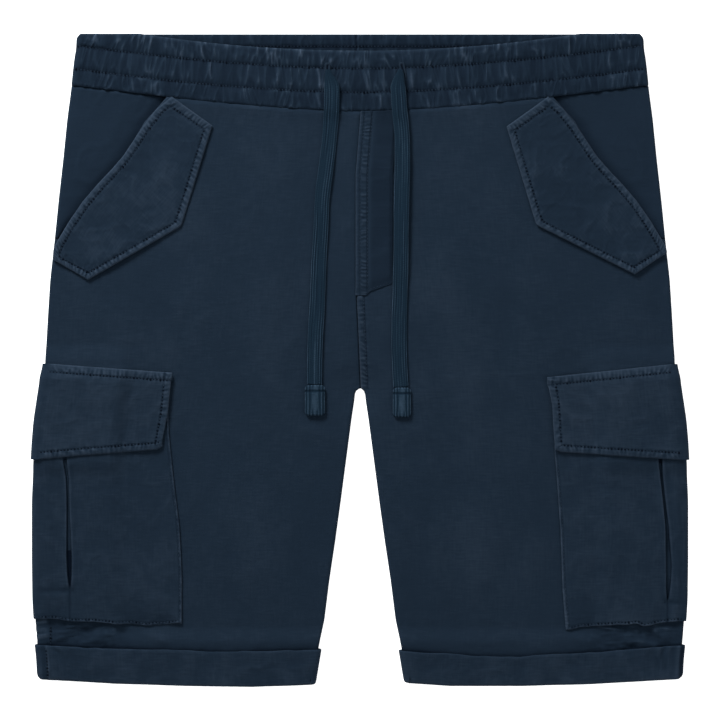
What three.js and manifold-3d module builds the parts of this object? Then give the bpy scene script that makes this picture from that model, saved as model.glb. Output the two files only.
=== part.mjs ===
// Cargo shorts, laid flat on their back. Millimetres, +X to the picture's right, +Y to the waist, +Z up.
// The origin is on the table, in the middle of the outline. Left and right are the picture's.
import * as THREE from "three";
import * as BufferGeometryUtils from "three/addons/utils/BufferGeometryUtils.js";
import Module from "manifold-3d";

const wasm = await Module();
wasm.setup();

// Driving dimensions of the cloth.
const CLOTH = 1.2; // a panel's wall
const SEAM_GAP = 0.3; // between two pieces at a seam, and between a piece and what it lies on
const LEG_HEIGHT = 4.8; // the flattened leg, from its back to its front
const CROTCH_DIP = 2.1; // how much flatter the leg is at the crotch
const CROTCH_REACH = 26; // how far that dip reaches
const WAIST_Y = 260.4; // top of the back waistband
const CROTCH_Y = -22.8;
const SIDE_RADIUS = LEG_HEIGHT / 2;
const QUARTER = (SIDE_RADIUS * Math.PI) / 2;

const POCKET_WALL = 1.5;
const FLAP_WALL = 1.8;
const CUFF_WALL = 2.0;
const POCKET_LAYER = SEAM_GAP + POCKET_WALL;
const FLAP_LAYER = SEAM_GAP + FLAP_WALL;
const CUFF_LAYER = SEAM_GAP + CUFF_WALL;
const WRAP = 56; // how far the cargo pocket goes round to the back
const FLAP_WRAP = 59;
const STEP_START = 60; // the back panel steps down to the table between these distances from the side
const STEP_END = 75;

const BAND_WALL = 3.0;
const BACK_BAND_WALL = 2.1;
const BAND_HEIGHT = 6.6;
const BAND_RADIUS = BAND_HEIGHT / 2;
const BAND_QUARTER = (BAND_RADIUS * Math.PI) / 2;
const GATHERS = 66; // across each face of the waistband
const GATHER_HEIGHT = 0.8;

// Half outline of the leg's cloth: y, and the distance from the centre line.
const SIDE_EDGE = [
  [260.4, 226.4], [248.4, 227.2], [232.4, 229.2], [216.4, 230.8], [192.4, 234.0], [160.4, 237.2],
  [128.4, 240.8], [96.4, 244.0], [64.4, 247.6], [32.4, 249.6], [3.6, 251.2], [-15.0, 251.5],
  [-31.6, 254.0], [-47.6, 256.4], [-63.6, 257.8], [-79.6, 258.7], [-111.6, 260.2], [-159.6, 260.2],
  [-191.6, 259.8], [-207.6, 258.8], [-223.6, 257.4], [-240, 255.7], [-260.4, 254.9],
];
// Below the crotch: y, and the distance of the inside leg from the centre line.
const INSEAM = [
  [-22.8, 0.4], [-24, 2.8], [-27, 4.0], [-31.6, 4.4], [-47.6, 6.8], [-79.6, 11.0], [-111.6, 15.2],
  [-143.6, 19.6], [-175.6, 24.4], [-207.6, 28.4], [-226, 32.4], [-239.6, 34.7], [-254, 37.1], [-260.4, 38],
];
// Above the crotch: y, and the x of the centre-front seam.
const CENTRE_SEAM = [[200, 1.4], [171.6, -0.9], [148, -2.8], [51.6, -2.8], [-22.8, 0.4]];
// Turn-up edges: distance from the centre line, and y.
const HEM = {
  left: [[36, -258.7], [86, -260.4], [141, -259.6], [196, -257.8], [258, -254.3]],
  right: [[36, -257.2], [73, -259.6], [129, -259.6], [184, -258.2], [258, -253.9]],
};
const CUFF_TOP = {
  left: [[30, -230.6], [68, -231.1], [104, -232.4], [159, -230.6], [215, -228.8], [260, -226.4]],
  right: [[30, -230.6], [92, -236.1], [129, -236.1], [184, -232.4], [260, -227.0]],
};
// The slanted hip pocket mouth: y, and the distance from the centre line.
const MOUTH = [
  [213, 151], [190, 172], [168.5, 184.7], [159.3, 190.9], [134.8, 213.3], [118.5, 224.6], [100.1, 237.2], [97, 238.9],
];
const MOUTH_END = 97;
const MOUTH_ROWS = [190, 168.5, 150, 134.8, 118.5, 106, MOUTH_END];
const FACING_UNDERLAP = 12;
// Hip flap corners: distance, y.
const HIP_FLAP = {
  left: { top: [117.4, 187.3], inner: [142.4, 106.7], point: [217.4, 63.4], side: [242.5, 79.1] },
  right: { top: [116.6, 186.5], inner: [140.5, 107.4], point: [219.5, 67.9], side: [241.8, 85.4] },
};
// Cargo flap and pocket edges.
const CARGO_FLAP = {
  left: { top: [[148, -10.2], [260, -2.0]], inner: [[-10, 149.6], [-43.2, 153], [-68, 157.6]], bottom: [[157, -68.5], [162, -71.6], [214.6, -75.4], [262, -79.6]] },
  right: { top: [[148, -13.8], [260, -2.0]], inner: [[-13, 148.8], [-32.2, 152.5], [-72.6, 155.2]], bottom: [[155, -71.6], [160, -73.4], [202, -76.2], [262, -79.8]] },
};
const CARGO_POCKET = {
  left: { inner: [[-20, 154], [-61, 152], [-95.6, 148.4], [-132.3, 143.8], [-169, 142], [-212, 142]],
    bottom: [[142, -209.8], [170.5, -211.3], [207.2, -209.4], [262, -206]],
    pleat: [[-20, 236], [-79.9, 234.7], [-95.6, 232.9], [-183.6, 231], [-212, 231]], pleatEnd: -183.6 },
  right: { inner: [[-20, 154], [-74.4, 155.2], [-95.6, 157], [-132.3, 159.8], [-178.2, 161.6], [-212, 165]],
    bottom: [[162, -211.6], [198.4, -211], [222.2, -209.4], [262, -206.7]],
    pleat: [[-20, 236], [-79.9, 238.8], [-132.3, 244.5], [-163.6, 246], [-193, 245], [-212, 245]], pleatEnd: -193 },
};
const POCKET_TOP = -20;
const PLEAT_TOP = -80; // the pleat opens below the flap
// Heights of the leg above the table where pockets, flaps and turn-ups lie under it: y, near the side, elsewhere.
const LIFTS = [
  { y: 14, side: 0, rest: 0 },
  { y: -2, side: FLAP_LAYER, rest: 0 },
  { y: -16, side: FLAP_LAYER + POCKET_LAYER, rest: 0 },
  { y: -80, side: FLAP_LAYER + POCKET_LAYER, rest: 0 },
  { y: -94, side: POCKET_LAYER, rest: 0 },
  { y: -212, side: POCKET_LAYER, rest: 0 },
  { y: -226, side: CUFF_LAYER, rest: CUFF_LAYER },
];
// Large soft folds in the front of each leg: middle, direction in degrees, length, width and height.
const FOLDS = [
  { side: "left", d: 96, y: 20, turn: 62, length: 150, width: 46, height: 0.7 },
  { side: "left", d: 88, y: -150, turn: 98, length: 110, width: 60, height: 0.8 },
  { side: "left", d: 110, y: -66, turn: 75, length: 120, width: 40, height: 0.5 },
  { side: "right", d: 92, y: 30, turn: 70, length: 150, width: 50, height: 0.7 },
  { side: "right", d: 96, y: -150, turn: 84, length: 110, width: 56, height: 0.8 },
  { side: "right", d: 104, y: -60, turn: 112, length: 120, width: 44, height: 0.5 },
];
// The free tapes: centre line from the eyelet to the tip, chosen by hand.
const TAPE_WIDTH = 12;
const TAPE_HEIGHT = 2.2;
const TAPES = {
  left: {
    route: [
      [-25.3, 229.2, 9.3], [-23.6, 219, 9.3], [-22.4, 208.4, 9.3], [-22.6, 200, 8.6], [-23.2, 190.8, 6.6],
      [-24.1, 180, 6.3], [-25.2, 168.4, 6.3], [-27.5, 150, 6.3], [-29.8, 132.2, 6.3], [-31.2, 104.2, 6.3],
      [-32.8, 76.1, 6.3], [-34.2, 41.3, 6.3], [-35.4, 22, 6.3], [-36, 3, 6.3], [-36.3, -19.6, 6.3],
    ],
    tip: { x: -35.9, top: -19.9, bottom: -44.4, width: 16 },
  },
  right: {
    route: [
      [32.6, 229.2, 9.3], [31.0, 219, 9.3], [30.9, 208.4, 9.3], [31.5, 199, 8.9], [32.6, 189, 7.9],
      [33.4, 180, 7.9], [33.7, 168.4, 7.9], [33.8, 150, 7.9], [33.2, 132.2, 7.9], [32.8, 104.2, 7.9],
      [32.5, 76.1, 7.9], [31.9, 52, 6.7], [31.3, 30, 6.3], [31.4, 3, 6.3], [32.6, -21.6, 6.3],
    ],
    tip: { x: 33.4, top: -21.9, bottom: -45.6, width: 14.4 },
  },
};
const EYELETS = [{ x: -25.5, y: 231 }, { x: 32.6, y: 231 }];
const EYELET_WIDTH = 2.4;
const EYELET_HALF = 7;
const SIDES = ["left", "right"];

/** Straight interpolation in a table of [key, value] rows, in rising or falling order of key. */
function lookUp(table, key) {
  const rising = table[0][0] < table[table.length - 1][0];
  const rows = rising ? table : [...table].reverse();
  if (key <= rows[0][0]) return rows[0][1];
  for (let k = 1; k < rows.length; k += 1) {
    if (key > rows[k][0]) continue;
    const part = (key - rows[k - 1][0]) / (rows[k][0] - rows[k - 1][0]);
    return THREE.MathUtils.lerp(rows[k - 1][1], rows[k][1], part);
  }
  return rows[rows.length - 1][1];
}

const sideEdge = (y) => lookUp(SIDE_EDGE, y);
const hem = (side, d) => lookUp(HEM[side], d);
const cuffTop = (side, d) => lookUp(CUFF_TOP[side], d);

/** The leg's inner edge at y: the inside leg, or its side of the centre seam. */
function innerEdge(side, y) {
  if (y < CROTCH_Y) return lookUp(INSEAM, y);
  const seam = lookUp(CENTRE_SEAM, y);
  return (side === "left" ? -seam : seam) + SEAM_GAP / 2;
}

/** Height of the flattened leg at a place, less at the crotch, where four panels are sewn together. */
function legHeight(d, y) {
  const away = Math.hypot(d, y - CROTCH_Y) / CROTCH_REACH;
  return LEG_HEIGHT - (away < 1 ? CROTCH_DIP * (1 - away * away) ** 2 : 0);
}

/** How far the back panel is held off the table at an arc distance from the side fold. */
function lift(arc, y) {
  const step = THREE.MathUtils.clamp((arc - STEP_START) / (STEP_END - STEP_START), 0, 1);
  const side = lookUp(LIFTS.map((row) => [row.y, row.side]), y);
  const rest = lookUp(LIFTS.map((row) => [row.y, row.rest]), y);
  return THREE.MathUtils.lerp(side, rest, step);
}

/** Sum of the large soft folds at a place on the front. */
function foldHeight(side, d, y) {
  let height = 0;
  for (const fold of FOLDS.filter((each) => each.side === side)) {
    const turn = THREE.MathUtils.degToRad(fold.turn);
    const along = (d - fold.d) * Math.cos(turn) + (y - fold.y) * Math.sin(turn);
    const across = (y - fold.y) * Math.cos(turn) - (d - fold.d) * Math.sin(turn);
    const away = (2 * along / fold.length) ** 2 + (2 * across / fold.width) ** 2;
    if (away < 1) height += fold.height * (1 - away) ** 2;
  }
  return height;
}

/** Lengths of a leg's section at y, from the side fold over the front to the inside leg. */
function section(side, y) {
  const inner = innerEdge(side, y);
  const innerRadius = y < CROTCH_Y ? legHeight(inner, y) / 2 : 0;
  const innerQuarter = (innerRadius * Math.PI) / 2;
  const flat = sideEdge(y) - SIDE_RADIUS - inner - innerRadius;
  return { inner, innerRadius, innerQuarter, flatEnd: QUARTER + flat, whole: QUARTER + flat + innerQuarter };
}

/** Arc distance from the side fold to a distance d from the centre line. */
function arcAt(d, y) {
  return Math.max(QUARTER, QUARTER + sideEdge(y) - SIDE_RADIUS - d);
}

/** Distance from the centre line at an arc distance on the flat. */
const distanceAt = (arc, y) => sideEdge(y) - SIDE_RADIUS - Math.max(0, arc - QUARTER);

/** A point on a leg. The arc is above 0 on the front and below 0 on the back; out is off the cloth's face. */
function onLeg(side, arc, y, out, plain = false) {
  const cut = section(side, y);
  const a = Math.abs(arc);
  const face = arc >= 0 ? 1 : -1;
  let d, z, normalD, normalZ;
  if (a < QUARTER) {
    normalD = Math.cos(a / SIDE_RADIUS);
    normalZ = Math.sin(a / SIDE_RADIUS);
    d = sideEdge(y) - SIDE_RADIUS * (1 - normalD);
    z = SIDE_RADIUS + face * SIDE_RADIUS * normalZ;
  } else if (cut.innerRadius > 0 && a > cut.flatEnd) {
    const angle = Math.max(0, cut.whole - a) / cut.innerRadius;
    normalD = -Math.cos(angle);
    normalZ = Math.sin(angle);
    d = cut.inner + cut.innerRadius * (1 + normalD);
    z = cut.innerRadius + face * cut.innerRadius * normalZ;
  } else {
    normalD = 0;
    normalZ = 1;
    d = sideEdge(y) - SIDE_RADIUS - (a - QUARTER);
    z = face > 0 ? legHeight(d, y) + (plain ? 0 : foldHeight(side, d, y)) : 0;
  }
  const x = (side === "left" ? -1 : 1) * (d + out * normalD);
  return [x, y, z + lift(a, y) + face * out * normalZ];
}

/** Faces between the grids of a wall's outer and inner points, and round its edge. */
function wall(outer, inner, keepRows, keepColumns) {
  const rows = outer.length;
  const columns = outer[0].length;
  const keptRows = keepRows ?? outer.map((_, i) => i);
  const keptColumns = keepColumns ?? outer[0].map((_, j) => j);
  const points = [];
  const faces = [];
  const add = (point) => points.push(point) - 1;
  const out = outer.map((row) => row.map(add));
  const back = new Map();
  for (const i of keptRows) for (const j of keptColumns) back.set(`${i},${j}`, add(inner[i][j]));
  const quad = (a, b, c, d) => faces.push([a, b, c], [a, c, d]);
  for (let i = 0; i + 1 < rows; i += 1) {
    for (let j = 0; j + 1 < columns; j += 1) quad(out[i][j], out[i][j + 1], out[i + 1][j + 1], out[i + 1][j]);
  }
  for (let i = 0; i + 1 < keptRows.length; i += 1) {
    for (let j = 0; j + 1 < keptColumns.length; j += 1) {
      const at = (r, c) => back.get(`${keptRows[i + r]},${keptColumns[j + c]}`);
      quad(at(0, 0), at(1, 0), at(1, 1), at(0, 1));
    }
  }
  const rim = (kept, place, reverse) => {
    for (let k = 0; k + 1 < kept.length; k += 1) {
      const [here, there] = [place(kept[k]), place(kept[k + 1])];
      for (let m = kept[k]; m < kept[k + 1]; m += 1) {
        const face = [place(m + 1).out, place(m).out, here.back];
        faces.push(reverse ? face.reverse() : face);
      }
      const last = [there.out, here.back, there.back];
      faces.push(reverse ? last.reverse() : last);
    }
  };
  const edge = (i, j) => ({ out: out[i][j], back: back.get(`${i},${j}`) });
  rim(keptColumns, (j) => edge(0, j), false);
  rim(keptColumns, (j) => edge(rows - 1, j), true);
  rim(keptRows, (i) => edge(i, 0), true);
  rim(keptRows, (i) => edge(i, columns - 1), false);
  return solid(points, faces);
}

/** Joins closed loops of points, each to the next and the last to the first. */
function ring(loops) {
  const count = loops[0].length;
  const points = loops.flat();
  const faces = [];
  for (let i = 0; i < loops.length; i += 1) {
    const next = (i + 1) % loops.length;
    for (let j = 0; j < count; j += 1) {
      const k = (j + 1) % count;
      const [a, b, c, d] = [i * count + j, i * count + k, next * count + k, next * count + j];
      faces.push([a, b, c], [a, c, d]);
    }
  }
  return solid(points, faces);
}

/** A geometry from points and faces, turned so that its faces point out. */
function solid(points, faces) {
  let volume = 0;
  for (const [a, b, c] of faces) {
    const [p, q, r] = [a, b, c].map((k) => new THREE.Vector3(...points[k]));
    volume += p.dot(q.cross(r)) / 6;
  }
  const turned = volume < 0 ? faces.map(([a, b, c]) => [a, c, b]) : faces;
  const geometry = new THREE.BufferGeometry();
  geometry.setAttribute("position", new THREE.Float32BufferAttribute(points.flat(), 3));
  geometry.setIndex(turned.flat());
  return geometry;
}

const shorts = new THREE.Group();
const TWILL = new THREE.MeshStandardMaterial({ color: 0x1f2c3a, roughness: 0.92, metalness: 0 });
const TAPE = new THREE.MeshStandardMaterial({ color: 0x1c2e3c, roughness: 0.85, metalness: 0 });

/** Adds a named piece to the shorts. */
function sew(name, geometry, material = TWILL) {
  const mesh = new THREE.Mesh(geometry, material);
  mesh.name = name;
  shorts.add(mesh);
}

/** A grid of points: one row for each y, where y may be a function of the distance from the centre line. */
function grid(rows, arcs, point) {
  return rows.map((row) => {
    const nominal = typeof row === "function" ? row(150) : row;
    return arcs(nominal).map((arc, column) => {
      if (typeof row !== "function") return point(arc, row, column);
      const near = row(distanceAt(Math.abs(arc), nominal));
      return point(arc, row(distanceAt(Math.abs(arc), near)), column);
    });
  });
}

// Curves across the waistband. The elastic sags to the middle.
const sag = (d, depth, power) => depth * (1 - (Math.min(Math.abs(d), 226) / 226) ** power);
const frontTop = (d) => WAIST_Y - 13.6 * Math.max(0, 1 - (d / 176) ** 2);
const channelOne = (d) => 250.8 - sag(d, 18.4, 1.7);
const channelTwo = (d) => 232.1 - sag(d, 18.6, 1.7);
const waistSeam = (d) => 218.6 - sag(d, 20.4, 1.5);
const between = (low, high) => (d) => (low(d) + high(d)) / 2;

const panelTop = (d) => waistSeam(d) - SEAM_GAP / 2;
const panelBottom = (side) => (d) => hem(side, d) + CUFF_WALL + 2 * SEAM_GAP;
const LIFT_ROWS = LIFTS.map((row) => row.y);
const CROTCH_ROWS = [-10, -20, -25, -32, -47.6];
const falling = (a, b) => b - a;

/** Arc distances of the columns at the inner edge, round the inside leg or flat beside the centre seam. */
function innerArcs(side, y) {
  const { whole, innerQuarter } = section(side, y);
  const reach = Math.max(innerQuarter, 2.1);
  return [whole - reach, whole - (reach * 2) / 3, whole - reach / 3, whole - (innerQuarter > 0 ? SEAM_GAP / 2 : 0)];
}

/** Arc distance of the hip pocket mouth, or of the side seam below it. */
const mouthArc = (y) => (y >= MOUTH_END ? arcAt(lookUp(MOUTH, y), y) : SEAM_GAP / 2);

function frontLeg(side) {
  const rows = [...MOUTH_ROWS, 96.7, 64.4, 32.4, ...LIFT_ROWS, ...CROTCH_ROWS, -63.6, -111.6, -135, -159.6, -191.6, -240];
  const ordered = [panelTop, ...rows.sort(falling), panelBottom(side)];
  const arcs = (y) => {
    const start = mouthArc(y);
    const inner = innerArcs(side, y);
    const rolled = y >= MOUTH_END ? start : 0;
    const shrink = (inner[0] - rolled - QUARTER) / (inner[0] - QUARTER);
    const spread = (arc) => rolled + QUARTER + (arc - QUARTER) * shrink;
    const middle = [0.25, 0.5, 0.75].map((part) => spread(THREE.MathUtils.lerp(STEP_END, inner[0], part)));
    const round = [start, rolled + 0.33 * QUARTER, rolled + 0.66 * QUARTER];
    return [...round, spread(QUARTER), spread(30), spread(STEP_START), spread(STEP_END), ...middle, ...inner];
  };
  const outer = grid(ordered, arcs, (arc, y) => onLeg(side, arc, y, 0));
  const inner = grid(ordered, arcs, (arc, y) => onLeg(side, arc, y, -CLOTH, true));
  sew(`front_leg_${side}`, wall(outer, inner, null, [0, 1, 2, 3, 5, 6, 8, 10, 11, 12, 13]));
}

function backLeg(side) {
  const rows = [190, 150, 96.7, 32.4, ...LIFT_ROWS, ...CROTCH_ROWS, -63.6, -111.6, -159.6, -240].sort(falling);
  const ordered = [panelTop, ...rows, panelBottom(side)];
  const arcs = (y) => {
    const inner = innerArcs(side, y);
    const round = [SEAM_GAP / 2, 0.33 * QUARTER, 0.66 * QUARTER, QUARTER];
    const middle = [0.25, 0.5, 0.75].map((part) => THREE.MathUtils.lerp(STEP_END, inner[0], part));
    return [...round, STEP_START, STEP_END, ...middle, ...inner].map((arc) => -arc);
  };
  const outer = grid(ordered, arcs, (arc, y) => onLeg(side, arc, y, 0));
  const inner = grid(ordered, arcs, (arc, y) => onLeg(side, arc, y, -CLOTH));
  sew(`back_leg_${side}`, wall(outer, inner));
}

function hipFacing(side) {
  const depth = CLOTH + SEAM_GAP;
  const sunk = [0, 0, 0, 0, 0, 1, 1];
  const arcs = (y) => {
    const mouth = mouthArc(y);
    const sink = Math.max(QUARTER + 0.2, mouth - 24);
    const round = [SEAM_GAP / 2, 0.33 * QUARTER, 0.66 * QUARTER, QUARTER];
    return [...round, sink, mouth - 0.4, mouth + FACING_UNDERLAP];
  };
  const rows = [panelTop, ...MOUTH_ROWS];
  const outer = grid(rows, arcs, (arc, y, k) => onLeg(side, arc, y, -depth * sunk[k], true));
  const inner = grid(rows, arcs, (arc, y, k) => onLeg(side, arc, y, -depth * sunk[k] - CLOTH, true));
  sew(`hip_facing_${side}`, wall(outer, inner));
}

/** The flap is sewn along the mouth and folded over to the centre, with its rim stitched 5.6 mm in. */
function hipFlap(side) {
  const shape = HIP_FLAP[side];
  const START_Y = 207;
  const steps = [0, 0.04, 0.1, 0.25, 0.4, 0.52, 0.64, 0.8, 0.92, 0.97, 1];
  const across = [0, 0.05, 0.1, 0.3, 0.55, 0.8, 0.9, 0.95, 1];
  const rim = 0.35;
  const lower = new THREE.Vector2(...shape.side);
  const corners = [shape.top, shape.inner, shape.point].map((pair) => new THREE.Vector2(...pair));
  const firstLength = corners[0].distanceTo(corners[1]);
  const share = firstLength / (firstLength + corners[1].distanceTo(corners[2]));
  const sewn = (part) => {
    const y = THREE.MathUtils.lerp(START_Y, lower.y, part);
    return new THREE.Vector2(y > MOUTH_END ? lookUp(MOUTH, y) : THREE.MathUtils.lerp(239, lower.x, 0.5), y);
  };
  const free = (part) => part < share
    ? corners[0].clone().lerp(corners[1], part / share)
    : corners[1].clone().lerp(corners[2], (part - share) / (1 - share));
  const point = (part, v, out) => {
    const place = sewn(part).lerp(free(part), v);
    return onLeg(side, Math.max(arcAt(place.x, place.y), QUARTER + 0.2), place.y, out, true);
  };
  const lump = (i, j) => {
    const edge = Math.min(i, steps.length - 1 - i, j, across.length - 1 - j);
    return edge === 0 ? -0.2 : edge === 1 ? rim : edge === 2 ? -0.25 : 0.1;
  };
  const outer = steps.map((part, i) => across.map((v, j) => point(part, v, FLAP_LAYER + lump(i, j))));
  const inner = steps.map((part) => across.map((v) => point(part, v, SEAM_GAP)));
  sew(`hip_flap_${side}`, wall(outer, inner, [0, 3, 5, 7, 10], [0, 4, 8]));
}

/** The patch pocket: flat on the back, round the side, and an inverted pleat down its middle. */
function cargoPocket(side) {
  const shape = CARGO_POCKET[side];
  const pleat = [[-15, 0], [-4, 0.5], [-1.3, 0.9], [0, -0.5], [1.3, 0.9], [4, 0.5], [15, 0]];
  const arcs = (y) => {
    const middle = arcAt(lookUp(shape.pleat, y), y);
    const end = arcAt(lookUp(shape.inner, y), y);
    const round = [-1, -0.66, -0.33, 0, 0.33, 0.66, 1].map((part) => part * QUARTER);
    const folds = pleat.map(([offset]) => Math.max(QUARTER + 0.5, middle + offset * (middle < 17 ? 0.75 : 1)));
    return [-WRAP, -30, ...round, ...folds, STEP_START, STEP_END, (STEP_END + end) / 2, end - 7, end - 4, end];
  };
  const firstFold = 9;
  const relief = (y, k) => {
    const below = THREE.MathUtils.clamp((PLEAT_TOP - y) / 8, 0, 1);
    const fade = Math.min(below, THREE.MathUtils.clamp((y - shape.pleatEnd) / 6, 0, 1));
    const folded = pleat[k - firstFold] ? pleat[k - firstFold][1] * fade : 0;
    const stitched = k === 20 ? -0.3 : k === 21 ? -0.2 : 0;
    return folded + stitched;
  };
  const bottom = (inset) => (d) => lookUp(shape.bottom, d) + inset;
  const rows = [POCKET_TOP, -50, PLEAT_TOP, -88, -94, -111.6, -135, -159.6, shape.pleatEnd + 6, shape.pleatEnd, bottom(7), bottom(4), bottom(0)];
  const outer = grid(rows, arcs, (arc, y, k) => onLeg(side, arc, y, POCKET_LAYER + (arc > QUARTER ? relief(y, k) : 0), true));
  const inner = grid(rows, arcs, (arc, y) => onLeg(side, arc, y, SEAM_GAP, true));
  const kept = [0, 1, 2, 3, 4, 5, 6, 7, 8, 12, 16, 17, 21];
  sew(`cargo_pocket_${side}`, wall(outer, inner, [0, 1, 2, 4, 5, 7, 9, 12], kept));
}

/** The pocket's flap is sewn to the leg above the pocket and lies on it. */
function cargoFlap(side) {
  const shape = CARGO_FLAP[side];
  const raised = (y) => SEAM_GAP + POCKET_LAYER * THREE.MathUtils.clamp((-2 - y) / 14, 0, 1);
  const arcs = (y) => {
    const end = arcAt(lookUp(shape.inner, y), y);
    const round = [-1, -0.66, -0.33, 0, 0.33, 0.66, 1].map((part) => part * QUARTER);
    return [-FLAP_WRAP, -30, ...round, 30, STEP_START, STEP_END, (STEP_END + end) / 2, end - 6, end - 3.5, end];
  };
  const top = (d) => lookUp(shape.top, d);
  const bottom = (inset) => (d) => lookUp(shape.bottom, d) + inset;
  const rows = [top, -16, -24, -50, bottom(6), bottom(3.5), bottom(0)];
  const relief = (arc, i, k) => {
    if (arc < QUARTER) return 0;
    const edge = Math.min(rows.length - 1 - i, 15 - k);
    const rim = edge === 0 ? -0.2 : edge === 1 ? 0.35 : edge === 2 ? -0.2 : 0.1;
    return i === 0 ? -0.2 : i === 1 ? 0.3 : rim;
  };
  const point = (arc, y, out) => onLeg(side, arc, y, raised(y) + out, true);
  const outer = rows.map((row, i) => grid([row], arcs, (arc, y, k) => point(arc, y, FLAP_WALL + relief(arc, i, k)))[0]);
  const inner = grid(rows, arcs, (arc, y) => point(arc, y, 0));
  const kept = [0, 1, 2, 3, 4, 5, 6, 7, 8, 10, 11, 15];
  sew(`cargo_flap_${side}`, wall(outer, inner, [0, 1, 3, 6], kept));
}

/** The turn-up: the leg's end folded out and up, as a flattened ring with a round lip under the leg. */
function cuff(side) {
  const lip = CUFF_WALL;
  const profile = [
    { out: CUFF_LAYER, y: (d) => cuffTop(side, d) },
    { out: CUFF_LAYER, y: (d) => (cuffTop(side, d) + hem(side, d)) / 2 },
    { out: CUFF_LAYER, y: (d) => hem(side, d) + 1.4 },
    { out: CUFF_LAYER - 1, y: (d) => hem(side, d) },
    { out: -CLOTH / 2, y: (d) => hem(side, d) },
    { out: -CLOTH, y: (d) => hem(side, d) + 0.8 },
    { out: -CLOTH, y: (d) => hem(side, d) + lip },
    { out: SEAM_GAP, y: (d) => hem(side, d) + lip },
    { out: SEAM_GAP, y: (d) => cuffTop(side, d) },
  ];
  const NOMINAL = -245;
  const { whole, innerQuarter } = section(side, NOMINAL);
  const round = [0, 0.33, 0.66, 1].map((part) => part * QUARTER);
  const flats = [30, STEP_START, STEP_END, 115, 145, 172, 198];
  const end = [1, 0.66, 0.33].map((part) => whole - part * innerQuarter);
  const front = [...round, ...flats, ...end];
  const arcs = [...front, whole, ...front.slice(1).reverse().map((arc) => -arc)];
  const loops = arcs.map((arc) => profile.map(({ out, y }) => {
    const d = distanceAt(Math.abs(arc), NOMINAL);
    const height = y(d);
    const { whole: here } = section(side, height);
    const placed = Math.abs(arc) > whole - innerQuarter - 0.01 ? Math.sign(arc) * (here - (whole - Math.abs(arc))) : arc;
    return onLeg(side, placed, height, out, true);
  }));
  sew(`cuff_${side}`, ring(loops));
}

/** A point on the waistband: t runs from side to side over the front, with face 1, or the back, with face -1. */
function onBand(face, t, curve, out) {
  const NOMINAL = 240;
  const half = BAND_QUARTER + sideEdge(NOMINAL) - BAND_RADIUS;
  const arc = Math.max(0, half - Math.abs(t));
  const angle = Math.min(arc / BAND_RADIUS, Math.PI / 2);
  const flatD = sideEdge(NOMINAL) - BAND_RADIUS - Math.max(0, arc - BAND_QUARTER);
  const spread = (sideEdge(curve(flatD)) - sideEdge(NOMINAL)) * Math.min(1, flatD / 200);
  const y = curve(flatD + spread);
  const d = flatD + spread + (BAND_RADIUS + out) * Math.cos(angle);
  return [Math.sign(t) * (arc < half ? d : 0), y, BAND_RADIUS + face * (BAND_RADIUS + out) * Math.sin(angle)];
}

/** Columns of the waistband: the rounds at both sides, and two for each gather between them. */
function bandColumns() {
  const half = BAND_QUARTER + sideEdge(240) - BAND_RADIUS;
  const round = [SEAM_GAP / 2, 1.7, 3.4, BAND_QUARTER].map((arc) => arc - half);
  const gathers = [];
  const span = 2 * (half - BAND_QUARTER);
  for (let k = 1; k < 2 * GATHERS; k += 1) gathers.push(-span / 2 + (k * span) / (2 * GATHERS));
  return [...round, ...gathers, ...round.map((t) => -t).reverse()];
}

/** The columns that the waistband's plain face keeps: those of the rounds, and every eleventh. */
function plainColumns(count) {
  const every = Array.from({ length: count }, (_, k) => k);
  return every.filter((k) => k < 4 || k > count - 5 || k % 11 === 3);
}

const gatherAt = (k) => (k < 4 ? 0 : k % 2);

function waistbandFront() {
  const columns = bandColumns();
  const count = columns.length;
  const gathered = (k) => (k > count - 5 ? 0 : gatherAt(k));
  const rows = [
    { curve: frontTop, puff: -0.5, pull: 0.5 },
    { curve: (d) => frontTop(d) - 2, puff: 0.1, pull: 0.8 },
    { curve: between(frontTop, channelOne), puff: 0.3, pull: 1 },
    { curve: channelOne, puff: -0.6, pull: 0.4 },
    { curve: between(channelOne, channelTwo), puff: 0.4, pull: 1 },
    { curve: channelTwo, puff: -0.6, pull: 0.4 },
    { curve: between(channelTwo, waistSeam), puff: 0.4, pull: 1 },
    { curve: (d) => waistSeam(d) + SEAM_GAP / 2, puff: -0.5, pull: 0.4 },
  ];
  const outer = rows.map(({ curve, puff, pull }) => columns.map((t, k) => {
    const flat = k > 3 && k < count - 4 ? 1 : 0;
    return onBand(1, t, curve, flat * puff + GATHER_HEIGHT * pull * gathered(k));
  }));
  const inner = rows.map(({ curve }) => columns.map((t) => onBand(1, t, curve, -BAND_WALL)));
  sew("waistband_front", withEyelets(wall(outer, inner, [0, 3, rows.length - 1], plainColumns(count))));
}

/** The back waistband lies flat, with its gathers on the face that shows inside the waist. */
function waistbandBack() {
  const columns = bandColumns();
  const count = columns.length;
  const backTop = () => WAIST_Y;
  const rows = [
    { curve: backTop, pull: 0.7 },
    { curve: () => WAIST_Y - 5, pull: 1 },
    { curve: () => WAIST_Y - 11.2, pull: 0.4 },
    { curve: (d) => Math.min(WAIST_Y - 18, frontTop(d) - 4), pull: 1 },
    { curve: (d) => waistSeam(d) + SEAM_GAP / 2, pull: 0 },
  ];
  const gathered = (k) => (k > count - 5 ? 0 : gatherAt(k));
  const face = rows.map(({ curve, pull }) => columns.map((t, k) => {
    const round = k < 3 || k > count - 4;
    return onBand(-1, t, curve, -(round ? BAND_WALL : BACK_BAND_WALL) - GATHER_HEIGHT * pull * gathered(k));
  }));
  const under = rows.map(({ curve }) => columns.map((t) => onBand(-1, t, curve, 0)));
  sew("waistband_back", wall(face, under, [0, rows.length - 1], plainColumns(count)));
}

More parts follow.
